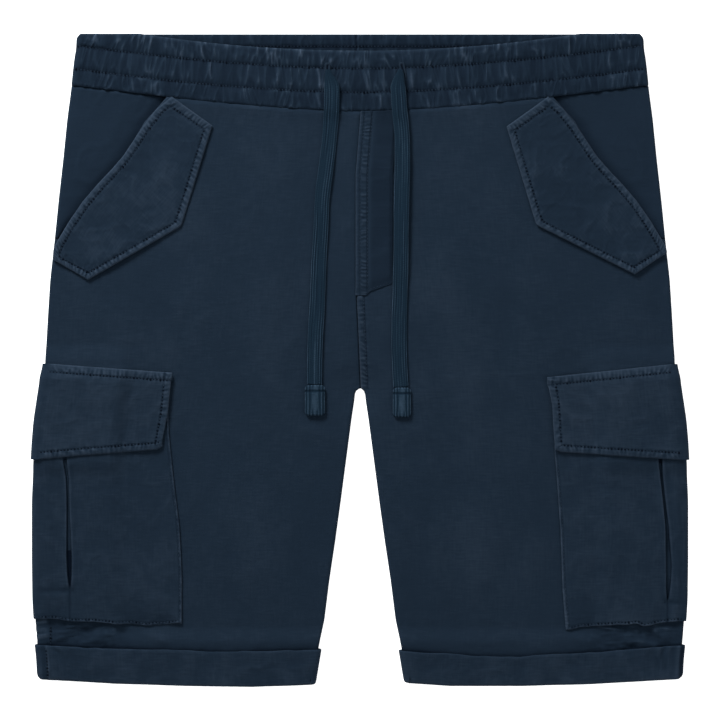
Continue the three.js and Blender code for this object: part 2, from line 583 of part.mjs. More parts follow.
/** Cuts the two upright buttonholes that the tapes come out of. */
function withEyelets(geometry) {
  const asManifold = (source) => {
    const bare = source.clone();
    bare.deleteAttribute("normal");
    bare.deleteAttribute("uv");
    const merged = BufferGeometryUtils.mergeVertices(bare, 1e-4);
    const triVerts = Uint32Array.from(merged.index.array);
    return new wasm.Manifold(new wasm.Mesh({ numProp: 3, vertProperties: merged.attributes.position.array, triVerts }));
  };
  let cut = asManifold(geometry);
  for (const { x, y } of EYELETS) {
    const slit = new THREE.CapsuleGeometry(EYELET_WIDTH / 2, 2 * EYELET_HALF, 3, 8);
    slit.scale(1, 1, 8);
    slit.translate(x, y, BAND_HEIGHT);
    cut = cut.subtract(asManifold(slit));
  }
  const mesh = cut.getMesh();
  const result = new THREE.BufferGeometry();
  result.setAttribute("position", new THREE.BufferAttribute(new Float32Array(mesh.vertProperties), 3));
  result.setIndex(Array.from(mesh.triVerts));
  return result;
}

/** The mock fly: a felled strip beside the centre seam and a wider piece with a J-shaped end. */
function flyPlacket() {
  const bottom = [[-4, 51.4], [5, 51.6], [8, 54.8], [25, 60.4], [28.5, 66]];
  const columns = [
    { x: -0.8, puff: -0.3 }, { x: 0.4, puff: 0.3 }, { x: 5, puff: 0 }, { x: 8.6, puff: 0.2 }, { x: 9.6, puff: -0.3 },
    { x: 13, puff: -0.2 }, { x: 27, puff: -0.2 }, { x: 29.2, puff: -0.5 },
  ];
  const wallHeight = 1.2;
  const levels = [197.2, 171.6, 148, 120, 92, 74];
  const rowAt = (i) => (x) => (i < levels.length ? levels[i] : lookUp(bottom, x));
  const place = (column, i, out) => {
    const y = rowAt(i)(column.x - 2.8);
    return [lookUp(CENTRE_SEAM, y) + column.x, y, LEG_HEIGHT + out];
  };
  const counts = [...levels, 0].map((_, i) => i);
  const outer = counts.map((i) => columns.map((column) => place(column, i, SEAM_GAP + wallHeight + column.puff)));
  const inner = counts.map((i) => columns.map((column) => place(column, i, SEAM_GAP)));
  sew("fly_placket", wall(outer, inner, null, [0, 7]));
}

/** A flat tape with rounded edges, run along its route. */
function drawcord(side) {
  const { route, tip } = TAPES[side];
  const path = new THREE.CatmullRomCurve3(route.map((point) => new THREE.Vector3(...point)));
  const STEPS = 28;
  const profile = new THREE.Shape();
  const CORNERS = 10;
  for (let k = 0; k < CORNERS; k += 1) {
    const angle = (2 * Math.PI * (k + 0.5)) / CORNERS;
    const power = (value) => Math.sign(value) * Math.abs(value) ** 0.5;
    const [high, wide] = [power(Math.cos(angle)) * TAPE_HEIGHT / 2, power(Math.sin(angle)) * TAPE_WIDTH / 2];
    if (k === 0) profile.moveTo(high, wide);
    else profile.lineTo(high, wide);
  }
  const tape = new THREE.ExtrudeGeometry(profile, { steps: STEPS, bevelEnabled: false, extrudePath: path });
  sew(`drawcord_${side}`, tape, TAPE);

  const half = tip.width / 2;
  const radius = 3;
  const outline = new THREE.Shape();
  outline.moveTo(-half, tip.top);
  outline.lineTo(-half, tip.bottom + radius);
  outline.quadraticCurveTo(-half, tip.bottom, -half + radius, tip.bottom);
  outline.lineTo(half - radius, tip.bottom);
  outline.quadraticCurveTo(half, tip.bottom, half, tip.bottom + radius);
  outline.lineTo(half, tip.top);
  outline.closePath();
  const height = 3.4;
  const end = new THREE.ExtrudeGeometry(outline, { depth: height, bevelEnabled: false, curveSegments: 4 });
  end.translate(tip.x, 0, LEG_HEIGHT + SEAM_GAP);
  sew(`drawcord_tip_${side}`, end, TAPE);
}

for (const side of SIDES) {
  frontLeg(side);
  backLeg(side);
  hipFacing(side);
  hipFlap(side);
  cargoPocket(side);
  cargoFlap(side);
  cuff(side);
  drawcord(side);
}
waistbandFront();
waistbandBack();
flyPlacket();

export default shorts;
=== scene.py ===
# %% [markdown]
# # Cargo shorts, laid flat
# The shorts are cut from one navy cotton twill, sewn, and then washed and dyed as a whole garment.
# Each piece that a maker cuts is one mesh here. It starts as a flat grid, is laid on the garment's
# form by a few shared functions, and is then given its wall. The grid keeps its own cloth
# measurements as UVs in metres, so the weave runs along the cloth wherever the piece bends.

# %% The frame and the units
import math

import bmesh
import bpy
import numpy as np
from mathutils import Matrix, Vector


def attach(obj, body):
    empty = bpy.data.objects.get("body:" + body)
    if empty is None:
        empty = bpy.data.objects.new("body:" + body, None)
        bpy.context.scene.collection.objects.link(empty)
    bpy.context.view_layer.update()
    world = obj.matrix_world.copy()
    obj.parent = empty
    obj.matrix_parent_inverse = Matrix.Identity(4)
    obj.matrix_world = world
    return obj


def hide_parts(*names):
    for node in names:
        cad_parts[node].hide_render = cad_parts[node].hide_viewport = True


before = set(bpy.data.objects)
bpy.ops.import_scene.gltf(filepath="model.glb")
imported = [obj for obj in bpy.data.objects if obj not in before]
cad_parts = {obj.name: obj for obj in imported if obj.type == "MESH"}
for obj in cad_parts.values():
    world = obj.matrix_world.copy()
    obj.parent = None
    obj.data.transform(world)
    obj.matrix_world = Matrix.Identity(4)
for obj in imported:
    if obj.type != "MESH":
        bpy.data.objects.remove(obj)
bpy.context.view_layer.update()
MM = 0.001  # sizes are in millimetres, and meshes in metres
SIDES = ("left", "right")  # the picture's left and right
print("nodes in the frame:", len(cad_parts))

# %% [markdown]
# ## Camera
# The shorts lie on a table, and the camera looks straight down at them from a fair height, as for
# a catalogue picture. A long lens keeps the outline free of perspective.

# %% Camera
FRAME_WIDTH = 0.5738  # what the picture takes in at the height of the cloth
LENS = 100
SENSOR = 36
CLOTH_LEVEL = 0.007

camera_data = bpy.data.cameras.new("Camera")
camera_data.lens = LENS
camera_data.sensor_width = SENSOR
camera = bpy.data.objects.new("Camera", camera_data)
camera.location = (0, 0, CLOTH_LEVEL + FRAME_WIDTH * LENS / SENSOR)
bpy.context.scene.collection.objects.link(camera)
bpy.context.scene.camera = camera
print("camera height:", round(camera.location.z, 3), "m")

# %% [markdown]
# ## The garment's sizes
# Everything is placed from a few tables: the outline of a leg, the centre seam, the pocket mouth
# and the edges of the sewn-on pieces. D is the distance from the centre line, and Y runs up to
# the waist from the middle of the outline.

# %% Sizes
CLOTH = 1.2
SEAM_GAP = 0.3
LEG_HEIGHT = 4.8
CROTCH_DIP = 2.1
CROTCH_REACH = 26
WAIST_Y = 260.4
HALF_WIDTH = 262.4  # over the cargo pockets
CROTCH_Y = -22.8
SIDE_RADIUS = LEG_HEIGHT / 2
QUARTER = SIDE_RADIUS * math.pi / 2
POCKET_LAYER = 1.8
FLAP_LAYER = 2.1
FLAP_WALL = 1.8
CUFF_LAYER = 2.3
CUFF_WALL = 2.0
WRAP = 56
FLAP_WRAP = 59
STEP_START = 60
STEP_END = 75
BAND_HEIGHT = 6.6
BAND_RADIUS = BAND_HEIGHT / 2
BAND_QUARTER = BAND_RADIUS * math.pi / 2
MOUTH_END = 97

SIDE_EDGE = [  # Y, D
    (260.4, 226.4), (248.4, 227.2), (232.4, 229.2), (216.4, 230.8), (192.4, 234.0), (160.4, 237.2),
    (128.4, 240.8), (96.4, 244.0), (64.4, 247.6), (32.4, 249.6), (3.6, 251.2), (-15.0, 251.5),
    (-31.6, 254.0), (-47.6, 256.4), (-63.6, 257.8), (-79.6, 258.7), (-111.6, 260.2), (-159.6, 260.2),
    (-191.6, 259.8), (-207.6, 258.8), (-223.6, 257.4), (-240, 255.7), (-260.4, 254.9),
]
INSEAM = [  # Y, D
    (-22.8, 0.4), (-24, 2.8), (-27, 4.0), (-31.6, 4.4), (-47.6, 6.8), (-79.6, 11.0), (-111.6, 15.2),
    (-143.6, 19.6), (-175.6, 24.4), (-207.6, 28.4), (-226, 32.4), (-239.6, 34.7), (-254, 37.1),
    (-260.4, 38),
]
CENTRE_SEAM = [(200, 1.4), (171.6, -0.9), (148, -2.8), (51.6, -2.8), (-22.8, 0.4)]  # Y, X
MOUTH = [  # Y, D
    (213, 151), (190, 172), (168.5, 184.7), (159.3, 190.9), (134.8, 213.3), (118.5, 224.6),
    (100.1, 237.2), (97, 238.9),
]
HEM = {  # D, Y
    "left": [(36, -258.7), (86, -260.4), (141, -259.6), (196, -257.8), (258, -254.3)],
    "right": [(36, -257.2), (73, -259.6), (129, -259.6), (184, -258.2), (258, -253.9)],
}
CUFF_TOP = {  # D, Y
    "left": [(30, -230.6), (68, -231.1), (104, -232.4), (159, -230.6), (215, -228.8), (260, -226.4)],
    "right": [(30, -230.6), (92, -236.1), (129, -236.1), (184, -232.4), (260, -227.0)],
}
LIFTS = [  # Y, height near the side, height elsewhere
    (14, 0, 0), (-2, FLAP_LAYER, 0), (-16, FLAP_LAYER + POCKET_LAYER, 0),
    (-80, FLAP_LAYER + POCKET_LAYER, 0),
    (-94, POCKET_LAYER, 0), (-212, POCKET_LAYER, 0), (-226, CUFF_LAYER, CUFF_LAYER),
]


def look_up(table, key, column=1):
    """Straight interpolation in a table, for arrays of keys."""
    rows = sorted(table)
    return np.interp(key, [row[0] for row in rows], [row[column] for row in rows])


def smooth(x):
    """0 below 0, 1 above 1, and an even slope between."""
    x = np.clip(x, 0, 1)
    return x * x * (3 - 2 * x)


print("size:", 2 * HALF_WIDTH, "by", 2 * WAIST_Y, "mm")

# %% [markdown]
# ## Random but repeatable unevenness
# Washed cloth is never even. Two helpers give it: smooth noise over a surface, and ripples along
# a seam whose spacing and height wander. Both are seeded, so each run gives the same cloth.

# %% Noise and ripples
LATTICE = 64


def noise(x, y, seed):
    """Smooth random heights from -1 to 1, one bump to a unit."""
    table = np.random.RandomState(seed).uniform(-1, 1, (LATTICE, LATTICE))
    column, row = np.floor(x).astype(int), np.floor(y).astype(int)
    fx, fy = x - column, y - row
    fx, fy = (f**3 * (f * (f * 6 - 15) + 10) for f in (fx, fy))
    a, b = column % LATTICE, row % LATTICE
    c, d = (a + 1) % LATTICE, (b + 1) % LATTICE
    low = table[a, b] * (1 - fx) + table[c, b] * fx
    high = table[a, d] * (1 - fx) + table[c, d] * fx
    return low * (1 - fy) + high * fy


def ripples(along, across, seed, pitch):
    """Puckers along a seam, from -1 to 1, that lean and wander a little."""
    wander = 0.6 * noise(along / (3 * pitch), across / 9, seed)
    swell = 0.65 + 0.45 * noise(along / (2.3 * pitch), across / 7, seed + 1)
    return swell * np.sin(2 * math.pi * (along / pitch + wander))


def bump(x, middle, width):
    """A soft bump that is 1 at its middle."""
    return np.exp(-(((x - middle) / width) ** 2))


def fade(x, reach):
    """1 at an edge, and less and less away from it."""
    return np.exp(-x / reach)


def creased(x, y, seed, size):
    """Washed-in creases: narrow crests that branch, over soft hollows, from 0 to 1."""
    one = 1 - np.minimum(np.abs(noise(x / size, y / size, seed)) * 3.2, 1)
    two = 1 - np.minimum(np.abs(noise(x / size * 1.9, y / size * 1.9, seed + 1)) * 3.2, 1)
    return one * (0.6 + 0.4 * noise(x / size / 2, y / size / 2, seed + 2)) + 0.4 * two


print("noise sample:", round(float(noise(np.array([2.4]), np.array([7.7]), 3)[0]), 3))

# %% [markdown]
# ## The form of a leg
# A leg laid flat is a tube pressed to a few millimetres. A place on it is given by the arc
# distance from the side fold, over the front when it is above 0 and over the back when it is
# below, by Y, and by how far off the cloth's face it is. Pockets, flaps and turn-ups are laid on
# by asking for the same places a little further out.

# %% The form of a leg
def side_edge(y):
    return (look_up(SIDE_EDGE, y - 4) + look_up(SIDE_EDGE, y) + look_up(SIDE_EDGE, y + 4)) / 3


def inner_edge(side, y):
    seam = look_up(CENTRE_SEAM, y) * (-1 if side == "left" else 1) + SEAM_GAP / 2
    return np.where(y < CROTCH_Y, look_up(INSEAM, y), seam)


def leg_height(d, y):
    away = np.minimum(np.hypot(d, y - CROTCH_Y) / CROTCH_REACH, 1)
    return LEG_HEIGHT - CROTCH_DIP * (1 - away**2) ** 2


def lift(arc, y):
    """Height of the leg's back off the table, over what lies under it."""
    near, rest = 0.0, 0.0
    for upper, lower in zip(LIFTS, LIFTS[1:]):
        step = smooth((upper[0] - y) / (upper[0] - lower[0]))
        near = near + (lower[1] - upper[1]) * step
        rest = rest + (lower[2] - upper[2]) * step
    return near + (rest - near) * smooth((arc - STEP_START) / (STEP_END - STEP_START))


def section(side, y):
    inner = inner_edge(side, y)
    radius = np.where(y < CROTCH_Y, leg_height(inner, y) / 2, 0)
    flat = side_edge(y) - SIDE_RADIUS - inner - radius
    return inner, radius, QUARTER + flat, QUARTER + flat + radius * math.pi / 2


def arc_at(d, y):
    return np.maximum(QUARTER, QUARTER + side_edge(y) - SIDE_RADIUS - d)


def distance_at(arc, y):
    return side_edge(y) - SIDE_RADIUS - np.maximum(0, np.abs(arc) - QUARTER)


def on_leg(side, arc, y, out):
    """Points on a leg, out millimetres off its face. The arguments are arrays of one length."""
    inner, radius, flat_end, whole = section(side, y)
    a, face = np.abs(arc), np.where(arc >= 0, 1, -1)
    turn = np.minimum(a / SIDE_RADIUS, math.pi / 2)
    safe = np.maximum(radius, 0.01)
    bend = np.clip((whole - a) / safe, 0, math.pi / 2)
    folded = (radius > 0) & (a > flat_end)
    normal_d = np.where(folded, -np.cos(bend), np.cos(turn))
    normal_z = np.where(folded, np.sin(bend), np.sin(turn))
    level = side_edge(y) - SIDE_RADIUS - (a - QUARTER)
    d = np.where(a < QUARTER, side_edge(y) - SIDE_RADIUS * (1 - normal_d), level)
    d = np.where(folded, inner + radius * (1 + normal_d), d)
    top = leg_height(d, y)
    z = np.where(face > 0, top, 0)
    z = np.where(a < QUARTER, SIDE_RADIUS * (1 + face * normal_z), z)
    z = np.where(folded, radius * (1 + face * normal_z), z)
    x = (-1 if side == "left" else 1) * (d + out * normal_d)
    return np.stack([x, y, np.maximum(z + lift(a, y) + face * out * normal_z, 0)], axis=1)


print("leg section at the knee:", [round(float(v[0]), 1) for v in section("left", np.array([-150.0]))])

# %% [markdown]
# ## Folds and creases in the cloth
# The long soft folds are the ones that the eye finds first: they hang from the waist and run down
# the thighs. Each is a low ridge placed between two points. Finer waves from the wash lie
# between them, and close to the waist seam the cloth ripples where the elastic draws it in.

# %% Folds and creases
CREASES = {  # from D, Y to D, Y, half width, height
    "left": [
        (62, 150, 118, -110, 20, 0.75), (88, -90, 80, -205, 26, 0.85), (118, 60, 100, -80, 13, -0.35),
        (30, -40, 84, -8, 7, 0.4), (18, -62, 70, -46, 8, 0.35), (24, -95, 66, -96, 10, 0.25),
        (140, 4, 112, 46, 9, 0.35), (146, -60, 118, -84, 9, 0.3), (138, -130, 120, -190, 11, 0.4),
        (60, 196, 66, 130, 8, 0.3), (95, 200, 92, 150, 9, 0.25), (132, 90, 150, 20, 12, 0.35),
        (205, 55, 180, 6, 10, 0.3), (226, 60, 222, 8, 9, 0.28), (176, 62, 160, 12, 8, -0.25),
        (52, -120, 48, -215, 9, -0.3), (112, -120, 106, -222, 8, -0.3), (40, 120, 44, 20, 9, 0.25),
        (238, -227, 206, -212, 3.4, -1.6), (222, -228, 190, -215, 3.6, 1.5),
        (242, -213, 238, -228, 2.5, 1.0),
        (200, -213, 182, -222, 3, -1.0), (226, -212, 229, -228, 2.5, 0.8), (176, -216, 150, -228, 3.4, 0.8),
    ],
    "right": [
        (60, 150, 110, -100, 22, 0.75), (96, -100, 96, -205, 24, 0.85), (122, 70, 104, -70, 13, -0.35),
        (26, -36, 80, -14, 7, 0.4), (18, -58, 74, -52, 8, 0.35), (26, -92, 70, -84, 10, 0.25),
        (140, 0, 116, 42, 9, 0.35), (148, -66, 124, -92, 9, 0.3), (150, -130, 130, -196, 11, 0.4),
        (58, 196, 62, 126, 8, 0.3), (98, 198, 94, 148, 9, 0.25), (128, 96, 148, 22, 12, 0.35),
        (208, 55, 190, 4, 10, 0.3), (230, 62, 226, 10, 9, 0.28), (172, 60, 158, 10, 8, -0.25),
        (56, -120, 50, -212, 9, -0.3), (116, -124, 112, -222, 8, -0.3), (52, 110, 54, 10, 9, 0.22),
        (240, -224, 212, -213, 3.4, -1.7), (228, -229, 196, -217, 3.6, 1.6),
        (247, -212, 242, -228, 2.5, 1.0),
        (252, -226, 230, -214, 2.8, 1.3), (216, -212, 206, -224, 3, -1.0), (190, -229, 166, -219, 3.4, 0.9),
    ],
}
SIDE_SEAM_D = {"left": 248.4, "right": 257.2}  # where the side seam shows below the cargo pocket


def sag(d, depth, power):
    return depth * (1 - (np.minimum(np.abs(d), 226) / 226) ** power)


def front_top(d):
    return WAIST_Y - 13.6 * np.maximum(0, 1 - (d / 176) ** 2)


def channel_one(d):
    return 250.8 - sag(d, 18.4, 1.7)


def channel_two(d):
    return 232.1 - sag(d, 18.6, 1.7)


def waist_seam(d):
    return 218.6 - sag(d, 20.4, 1.5)


def ridges(side, d, y):
    """Sum of the listed creases."""
    height = np.zeros_like(d)
    for from_d, from_y, to_d, to_y, width, top in CREASES[side]:
        run_d, run_y = to_d - from_d, to_y - from_y
        length = math.hypot(run_d, run_y)
        along = ((d - from_d) * run_d + (y - from_y) * run_y) / length
        across = ((d - from_d) * run_y - (y - from_y) * run_d) / length
        bow = 0.04 * length * np.sin(math.pi * np.clip(along / length, 0, 1))
        ends = smooth(along / (0.4 * length)) * smooth((length - along) / (0.4 * length))
        height += top * ends * bump(across, bow, width)
    return height


def bunched(side, d, y):
    """The short crumples that bunch up between the cargo pocket and the turn-up."""
    seed = 360 if side == "right" else 310
    zone = smooth((-207 - y) / 4) * smooth((d - 168) / 34)
    return zone * (0.9 * creased(d - 0.5 * y, 1.5 * y, seed, 15) + 0.4 * creased(d, y, seed + 4, 7) - 0.45)


def drape(side, d, y):
    """Height of the front's folds, waves and ripples over the flat form."""
    seed = 60 if side == "right" else 10
    waves = 0.34 * noise(d / 34, y / 60, seed) + 0.2 * noise(d / 13, y / 21, seed + 1)
    fine = 0.3 * creased(d, y, seed + 2, 24)
    below = waist_seam(d) - y
    drawn = 0.3 * fade(np.maximum(below, 0), 16) * ripples(d, below, seed + 3, 13)
    hem_line = y - look_up(CUFF_TOP[side], d)
    turned = 0.2 * fade(np.maximum(hem_line, 0), 8) * ripples(d, hem_line, seed + 5, 16)
    return ridges(side, d, y) + waves + fine + drawn + turned + 2.0 * bunched(side, d, y)


print("creases:", {side: len(CREASES[side]) for side in SIDES})

# %% [markdown]
# ## Dyed twill, with painted light and shade
# The cloth is dyed after it is sewn, so the colour clouds softly. Light and shade are painted into
# the colour as well: darker in the grooves of the seams and wherever shadow falls, as painted shade,
# and paler on every raised edge and crest, as painted highlight. Three node groups give that to every
# material: one makes the washed-in creases, one the dye with its painted light and shade, and one
# the weave. Each piece carries an attribute, relief, that says how high or how deep each point lies
# in its puckers and how much painted highlight or shade it gets, and the dye group reads it.

# %% Node groups for the creases, the dye with its painted light and shade, and the weave
def new_group(name, inputs, outputs):
    group = bpy.data.node_groups.new(name, "ShaderNodeTree")
    for label, kind, value in inputs:
        socket = group.interface.new_socket(label, in_out="INPUT", socket_type=kind)
        socket.default_value = value
    for label, kind in outputs:
        group.interface.new_socket(label, in_out="OUTPUT", socket_type=kind)
    return group, group.nodes.new("NodeGroupInput"), group.nodes.new("NodeGroupOutput")


def add(tree, kind, links=None, **settings):
    """A node with its settings, its numbers by socket, and its links from other sockets."""
    node = tree.nodes.new(kind)
    for key, value in settings.items():
        if key == "values":
            for socket, number in value.items():
                node.inputs[socket].default_value = number
        else:
            setattr(node, key, value)
    for socket, source in (links or {}).items():
        tree.links.new(source, node.inputs[socket])
    return node


def mix_colour(tree, factor, first, second):
    node = add(tree, "ShaderNodeMix", data_type="RGBA")
    tree.links.new(factor, node.inputs["Factor"])
    for socket, source in ((6, first), (7, second)):
        tree.links.new(source, node.inputs[socket])
    return node.outputs[2]


def calculate(tree, operation, first, second, clamp=False):
    node = add(tree, "ShaderNodeMath", operation=operation, use_clamp=clamp)
    for socket, source in ((0, first), (1, second)):
        if isinstance(source, (int, float)):
            node.inputs[socket].default_value = source
        else:
            tree.links.new(source, node.inputs[socket])
    return node.outputs[0]


def weighted(tree, *pairs):
    """Sum of sockets, each times its weight."""
    total = calculate(tree, "MULTIPLY", *pairs[0])
    for source, weight in pairs[1:]:
        total = calculate(tree, "ADD", total, calculate(tree, "MULTIPLY", source, weight))
    return total


def cloth_noise(tree, stretch, scale, detail, kind="FBM"):
    """Noise on the cloth's own measurements, drawn out by the stretch."""
    cloth = add(tree, "ShaderNodeUVMap", uv_map="UVMap").outputs[0]
    laid = add(tree, "ShaderNodeMapping", {"Vector": cloth}, values={"Scale": (*stretch, 1)}).outputs[0]
    values = {"Scale": scale, "Detail": detail}
    return add(tree, "ShaderNodeTexNoise", {"Vector": laid}, noise_type=kind, values=values).outputs[0]


def make_wash_group():
    number = "NodeSocketFloat"
    tree, given, result = new_group("Wash creases", [("Amount", number, 1.0)],
                                    [("Crest", number), ("Height", number)])
    wide = cloth_noise(tree, (1, 0.8), 40, 2)
    ridge = calculate(tree, "ABSOLUTE", calculate(tree, "SUBTRACT", wide, 0.5), 0)
    crest = calculate(tree, "SUBTRACT", 1.0, calculate(tree, "MULTIPLY", ridge, 9.0), clamp=True)
    close = cloth_noise(tree, (1, 1), 130, 2)
    both = weighted(tree, (crest, 0.55), (close, 0.9))
    tree.links.new(calculate(tree, "MULTIPLY", both, given.outputs["Amount"]), result.inputs["Height"])
    tree.links.new(calculate(tree, "MULTIPLY", crest, given.outputs["Amount"]), result.inputs["Crest"])
    return tree


def make_dye_and_light_group():
    colour, number = "NodeSocketColor", "NodeSocketFloat"
    inputs = [
        ("Base", colour, (0, 0, 0, 1)), ("Highlight and clouding", colour, (0, 0, 0, 1)), ("Shade and clouding", colour, (0, 0, 0, 1)),
        ("Clouding", number, 0.5), ("Highlight strength", number, 1.0), ("Crest", number, 0.0),
    ]
    tree, given, result = new_group("Garment dye and painted light", inputs, [("Color", colour), ("Roughness", number)])
    place = add(tree, "ShaderNodeTexCoord").outputs["Object"]
    clouds = add(tree, "ShaderNodeTexNoise", {"Vector": place},
                 values={"Scale": 16, "Detail": 3}).outputs[0]
    weft = cloth_noise(tree, (0.12, 1), 800, 2)
    warp = cloth_noise(tree, (1, 0.1), 700, 2)
    relief = add(tree, "ShaderNodeAttribute", attribute_name="relief").outputs["Fac"]
    mottle = weighted(tree, (clouds, 0.3), (weft, 0.4), (warp, 0.3))
    pale = calculate(tree, "MULTIPLY", calculate(tree, "SUBTRACT", mottle, 0.5), given.outputs["Clouding"])
    # Raised relief and the crests of the wash creases are painted towards the paler colour, as painted
    # highlight; the clouding of the dye goes both ways.
    raised = weighted(tree, (relief, 1.0), (given.outputs["Crest"], 0.06))
    painted_light = calculate(tree, "MULTIPLY", calculate(tree, "MULTIPLY", raised, mottle), given.outputs["Highlight strength"])
    light = weighted(tree, (pale, 1.0), (painted_light, 1.8))
    light = calculate(tree, "MAXIMUM", light, 0.0)
    light = calculate(tree, "MINIMUM", light, 1.0)
    # Sunken relief is painted towards the darker colour, as painted shade.
    dark = calculate(tree, "SUBTRACT", calculate(tree, "MULTIPLY", pale, -1.0), relief, clamp=True)
    tinted = mix_colour(tree, light, given.outputs["Base"], given.outputs["Highlight and clouding"])
    final = mix_colour(tree, dark, tinted, given.outputs["Shade and clouding"])
    tree.links.new(final, result.inputs["Color"])
    rough = calculate(tree, "ADD", calculate(tree, "MULTIPLY", mottle, -0.12), 0.97)
    tree.links.new(rough, result.inputs["Roughness"])
    return tree


def make_weave_group():
    number = "NodeSocketFloat"
    inputs = [("Rib", number, 900.0), ("Yarn", number, 1500.0), ("Wash", number, 0.0)]
    tree, given, result = new_group("Twill weave", inputs, [("Height", number)])
    cloth = add(tree, "ShaderNodeUVMap", uv_map="UVMap").outputs[0]
    ribs = add(tree, "ShaderNodeTexWave", {"Vector": cloth, "Scale": given.outputs["Rib"]},
               bands_direction="DIAGONAL", values={"Distortion": 0.6, "Detail": 1.0, "Detail Scale": 0.02})
    yarns = add(tree, "ShaderNodeTexWave", {"Vector": cloth, "Scale": given.outputs["Yarn"]},
                bands_direction="Y", values={"Distortion": 0.8, "Detail": 1.0, "Detail Scale": 0.02})
    slubs = cloth_noise(tree, (0.2, 1), 600, 3)
    parts = [(ribs.outputs["Fac"], 0.12), (yarns.outputs["Fac"], 0.05), (slubs, 0.22),
             (given.outputs["Wash"], 0.6)]
    tree.links.new(weighted(tree, *parts), result.inputs["Height"])
    return tree


WASH = make_wash_group()
DYE_AND_LIGHT = make_dye_and_light_group()
WEAVE = make_weave_group()
print("node groups:", WASH.name, DYE_AND_LIGHT.name, "and", WEAVE.name)

# %% [markdown]
# ## Materials
# The twill, the tape and the sewing thread share the three groups, each with values of its own.
# Pockets, flaps and turn-ups are two layers of twill, which a wash creases more, so they have a
# twill of their own. A trace of sheen stands for the soft nap of a washed cotton.

# %% Materials
def srgb(red, green, blue):
    """A colour as an eye reads it on a screen, from 0 to 255, as linear light."""
    parts = [value / 255 for value in (red, green, blue)]
    return (*(p / 12.92 if p <= 0.04045 else ((p + 0.055) / 1.055) ** 2.4 for p in parts), 1)


def dyed(name, colours, clouding, highlight_strength, rib, yarn, creases):
    """A cloth or thread: its base colour, a paler one for clouding and painted highlight, a darker one for
    clouding and painted shade, and how far each effect goes.
    """
    material = bpy.data.materials.new(name)
    material.use_nodes = True
    tree = material.node_tree
    shader = tree.nodes["Principled BSDF"]
    base, painted_light, shade_and_dark_clouding = (srgb(*colour) for colour in colours)
    wash = add(tree, "ShaderNodeGroup", node_tree=WASH, values={"Amount": creases})
    values = {"Base": base, "Highlight and clouding": painted_light, "Shade and clouding": shade_and_dark_clouding, "Clouding": clouding, "Highlight strength": highlight_strength}
    dye = add(tree, "ShaderNodeGroup", {"Crest": wash.outputs["Crest"]}, node_tree=DYE_AND_LIGHT, values=values)
    weave = add(tree, "ShaderNodeGroup", {"Wash": wash.outputs["Height"]}, node_tree=WEAVE,
                values={"Rib": rib, "Yarn": yarn})
    relief = add(tree, "ShaderNodeBump", {"Height": weave.outputs[0]},
                 values={"Strength": 1.0, "Distance": 0.0006})
    tree.links.new(dye.outputs["Color"], shader.inputs["Base Color"])
    tree.links.new(dye.outputs["Roughness"], shader.inputs["Roughness"])
    tree.links.new(relief.outputs[0], shader.inputs["Normal"])
    shader.inputs["Specular IOR Level"].default_value = 0.03
    shader.inputs["Sheen Weight"].default_value = 0.003
    shader.inputs["Sheen Roughness"].default_value = 0.6
    return material


# Each set of colours: base, paler for clouding and painted highlight, darker for clouding and painted
# shade.
NAVY = [(27, 40, 54), (64, 78, 95), (8, 17, 29)]
TWILL = dyed("Navy twill", NAVY, 0.45, 0.9, 900, 1500, 0.4)
DOUBLED = dyed("Navy twill, doubled", NAVY, 0.5, 0.9, 900, 1500, 1.2)
TAPE = dyed("Drawcord tape", [(23, 40, 54), (64, 84, 103), (8, 17, 29)], 0.4, 1.3, 1300, 700, 0.1)
THREAD = dyed("Sewing thread", [(32, 45, 59), (66, 80, 98), (9, 18, 30)], 0.4, 0.8, 2600, 2600, 0.0)
print("materials:", TWILL.name, DOUBLED.name, TAPE.name, THREAD.name)

# %% [markdown]
# ## Laying a sheet of cloth
# A grid from bmesh is the flat cut. The place function says where each of its points lies, what
# its cloth measurements are and how much painted highlight or shade it gets. Columns are packed
# closer at the edges, where the cloth rolls over. Solidify then gives the wall, inwards from the face
# that shows.

# %% Laying a sheet
def packed(t, closeness):
    """Moves even steps from 0 to 1 towards both ends."""
    return t - closeness * np.sin(2 * math.pi * t) / (2 * math.pi)


def along_stops(share, stops):
    """Goes evenly from one stop to the next, one stop for each whole share."""
    at = stops[0]
    for k, (here, ahead) in enumerate(zip(stops, stops[1:])):
        at = np.where(share > k, here + (ahead - here) * np.clip(share - k, 0, 1), at)
    return at


def lay_grid(name, columns, rows, place, closed=False):
    """A mesh from a grid whose points are laid by place(u, v), with UVs in metres and relief."""
    bm = bmesh.new()
    bmesh.ops.create_grid(bm, x_segments=columns, y_segments=rows, size=1)
    mesh = bpy.data.meshes.new(name)
    bm.to_mesh(mesh)
    bm.free()
    flat = np.empty(len(mesh.vertices) * 3)
    mesh.vertices.foreach_get("co", flat)
    u, v = (flat[0::3] + 1) / 2, (flat[1::3] + 1) / 2
    points, cloth, relief = place(u, v)
    mesh.vertices.foreach_set("co", (points * MM).ravel())
    corners = np.empty(len(mesh.loops), dtype=np.int32)
    mesh.loops.foreach_get("vertex_index", corners)
    layer = mesh.uv_layers.new(name="UVMap")
    layer.data.foreach_set("uv", (cloth[corners] * MM).ravel())
    painted_light = mesh.attributes.new("relief", "FLOAT", "POINT")
    painted_light.data.foreach_set("value", np.broadcast_to(relief, u.shape).astype(np.float32))
    if closed:
        bm = bmesh.new()
        bm.from_mesh(mesh)
        bmesh.ops.remove_doubles(bm, verts=bm.verts, dist=1e-6)
        bmesh.ops.recalc_face_normals(bm, faces=bm.faces)
        bm.to_mesh(mesh)
        bm.free()
    mesh.update()
    return mesh


